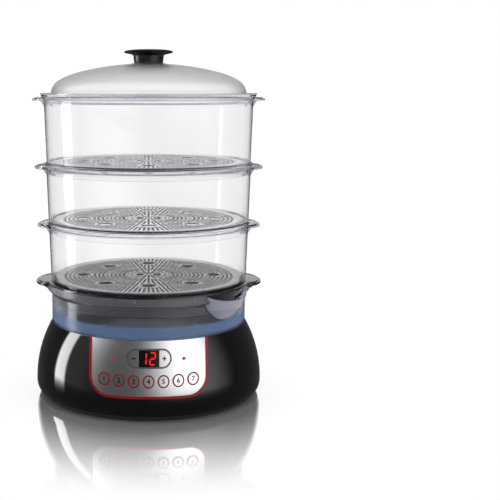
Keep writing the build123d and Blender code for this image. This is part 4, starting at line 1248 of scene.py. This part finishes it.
def addWorld():
    s = studio
    world = bpy.data.worlds.new("studio")
    scene.world = world
    world.use_nodes = True
    tree = world.node_tree
    tree.nodes.clear()
    path = newNode(tree, "ShaderNodeLightPath")
    place = newNode(tree, "ShaderNodeSeparateXYZ")
    tree.links.new(newNode(tree, "ShaderNodeTexCoord").outputs["Generated"], place.inputs[0])
    azimuth = maths(tree, "ARCTAN2", place.outputs["X"], maths(tree, "MULTIPLY", place.outputs["Y"], -1.0))
    high = place.outputs["Z"]
    # a bright back, dim sides and the bands
    backFrom, backSoft = math.radians(s["backFrom"]), math.radians(s["backSoft"])
    sideways = maths(tree, "ABSOLUTE", azimuth)
    back = ranged(tree, sideways, backFrom - backSoft, backFrom, 0.0, 1.0 - s["side"])
    backShare = maths(tree, "MULTIPLY", ranged(tree, high, s["backLow"], s["backHigh"], 1.0, 0.0),
                      ranged(tree, high, s["backFoot"], s["backRise"]))
    total = maths(tree, "ADD", maths(tree, "MULTIPLY", back, backShare), s["side"])
    bandShare = maths(tree, "MULTIPLY", ranged(tree, high, s["bandLow"], s["bandHigh"], 1.0, 0.0),
                      ranged(tree, high, s["bandFoot"], s["bandRise"]))
    for band in bands:
        middle, half, soft = (math.radians(band[key]) for key in ("azimuth", "half", "soft"))
        away = maths(tree, "ABSOLUTE", maths(tree, "SUBTRACT", azimuth, middle))
        glow = ranged(tree, away, half, half + soft, band["strength"], 0.0)
        total = maths(tree, "ADD", total, maths(tree, "MULTIPLY", glow, bandShare))
    lit = mixShader(tree, path.outputs["Is Glossy Ray"], background(tree, s["ambient"]),
                    background(tree, total))
    # the camera, and what it sees through clear walls towards the back, get plain white
    through = maths(tree, "MULTIPLY", path.outputs["Is Transmission Ray"],
                    ranged(tree, place.outputs["Y"], s["throughFrom"], s["throughTo"]))
    seen = maths(tree, "MAXIMUM", path.outputs["Is Camera Ray"], through)
    out = newNode(tree, "ShaderNodeOutputWorld")
    tree.links.new(mixShader(tree, seen, lit, background(tree, 1.0)), out.inputs["Surface"])


def addLamp(s):
    data = bpy.data.lights.new(s["name"], "AREA")
    data.shape = "RECTANGLE"
    data.size, data.size_y = s["size"]
    data.energy = s["power"]
    lamp = bpy.data.objects.new(s["name"], data)
    a = math.radians(s["azimuth"])
    lamp.location = (s["distance"] * math.sin(a), -s["distance"] * math.cos(a), s["height"])
    aim = Vector(studio["lampAim"]) - lamp.location
    lamp.rotation_euler = aim.to_track_quat("-Z", "Y").to_euler()
    lamp.visible_camera = False
    lamp.visible_glossy = False
    lamp.visible_transmission = False
    scene.collection.objects.link(lamp)


addFloor()
addWorld()
for lampSettings in lamps:
    addLamp(lampSettings)
scene.view_settings.view_transform = "Standard"
print("studio lit")
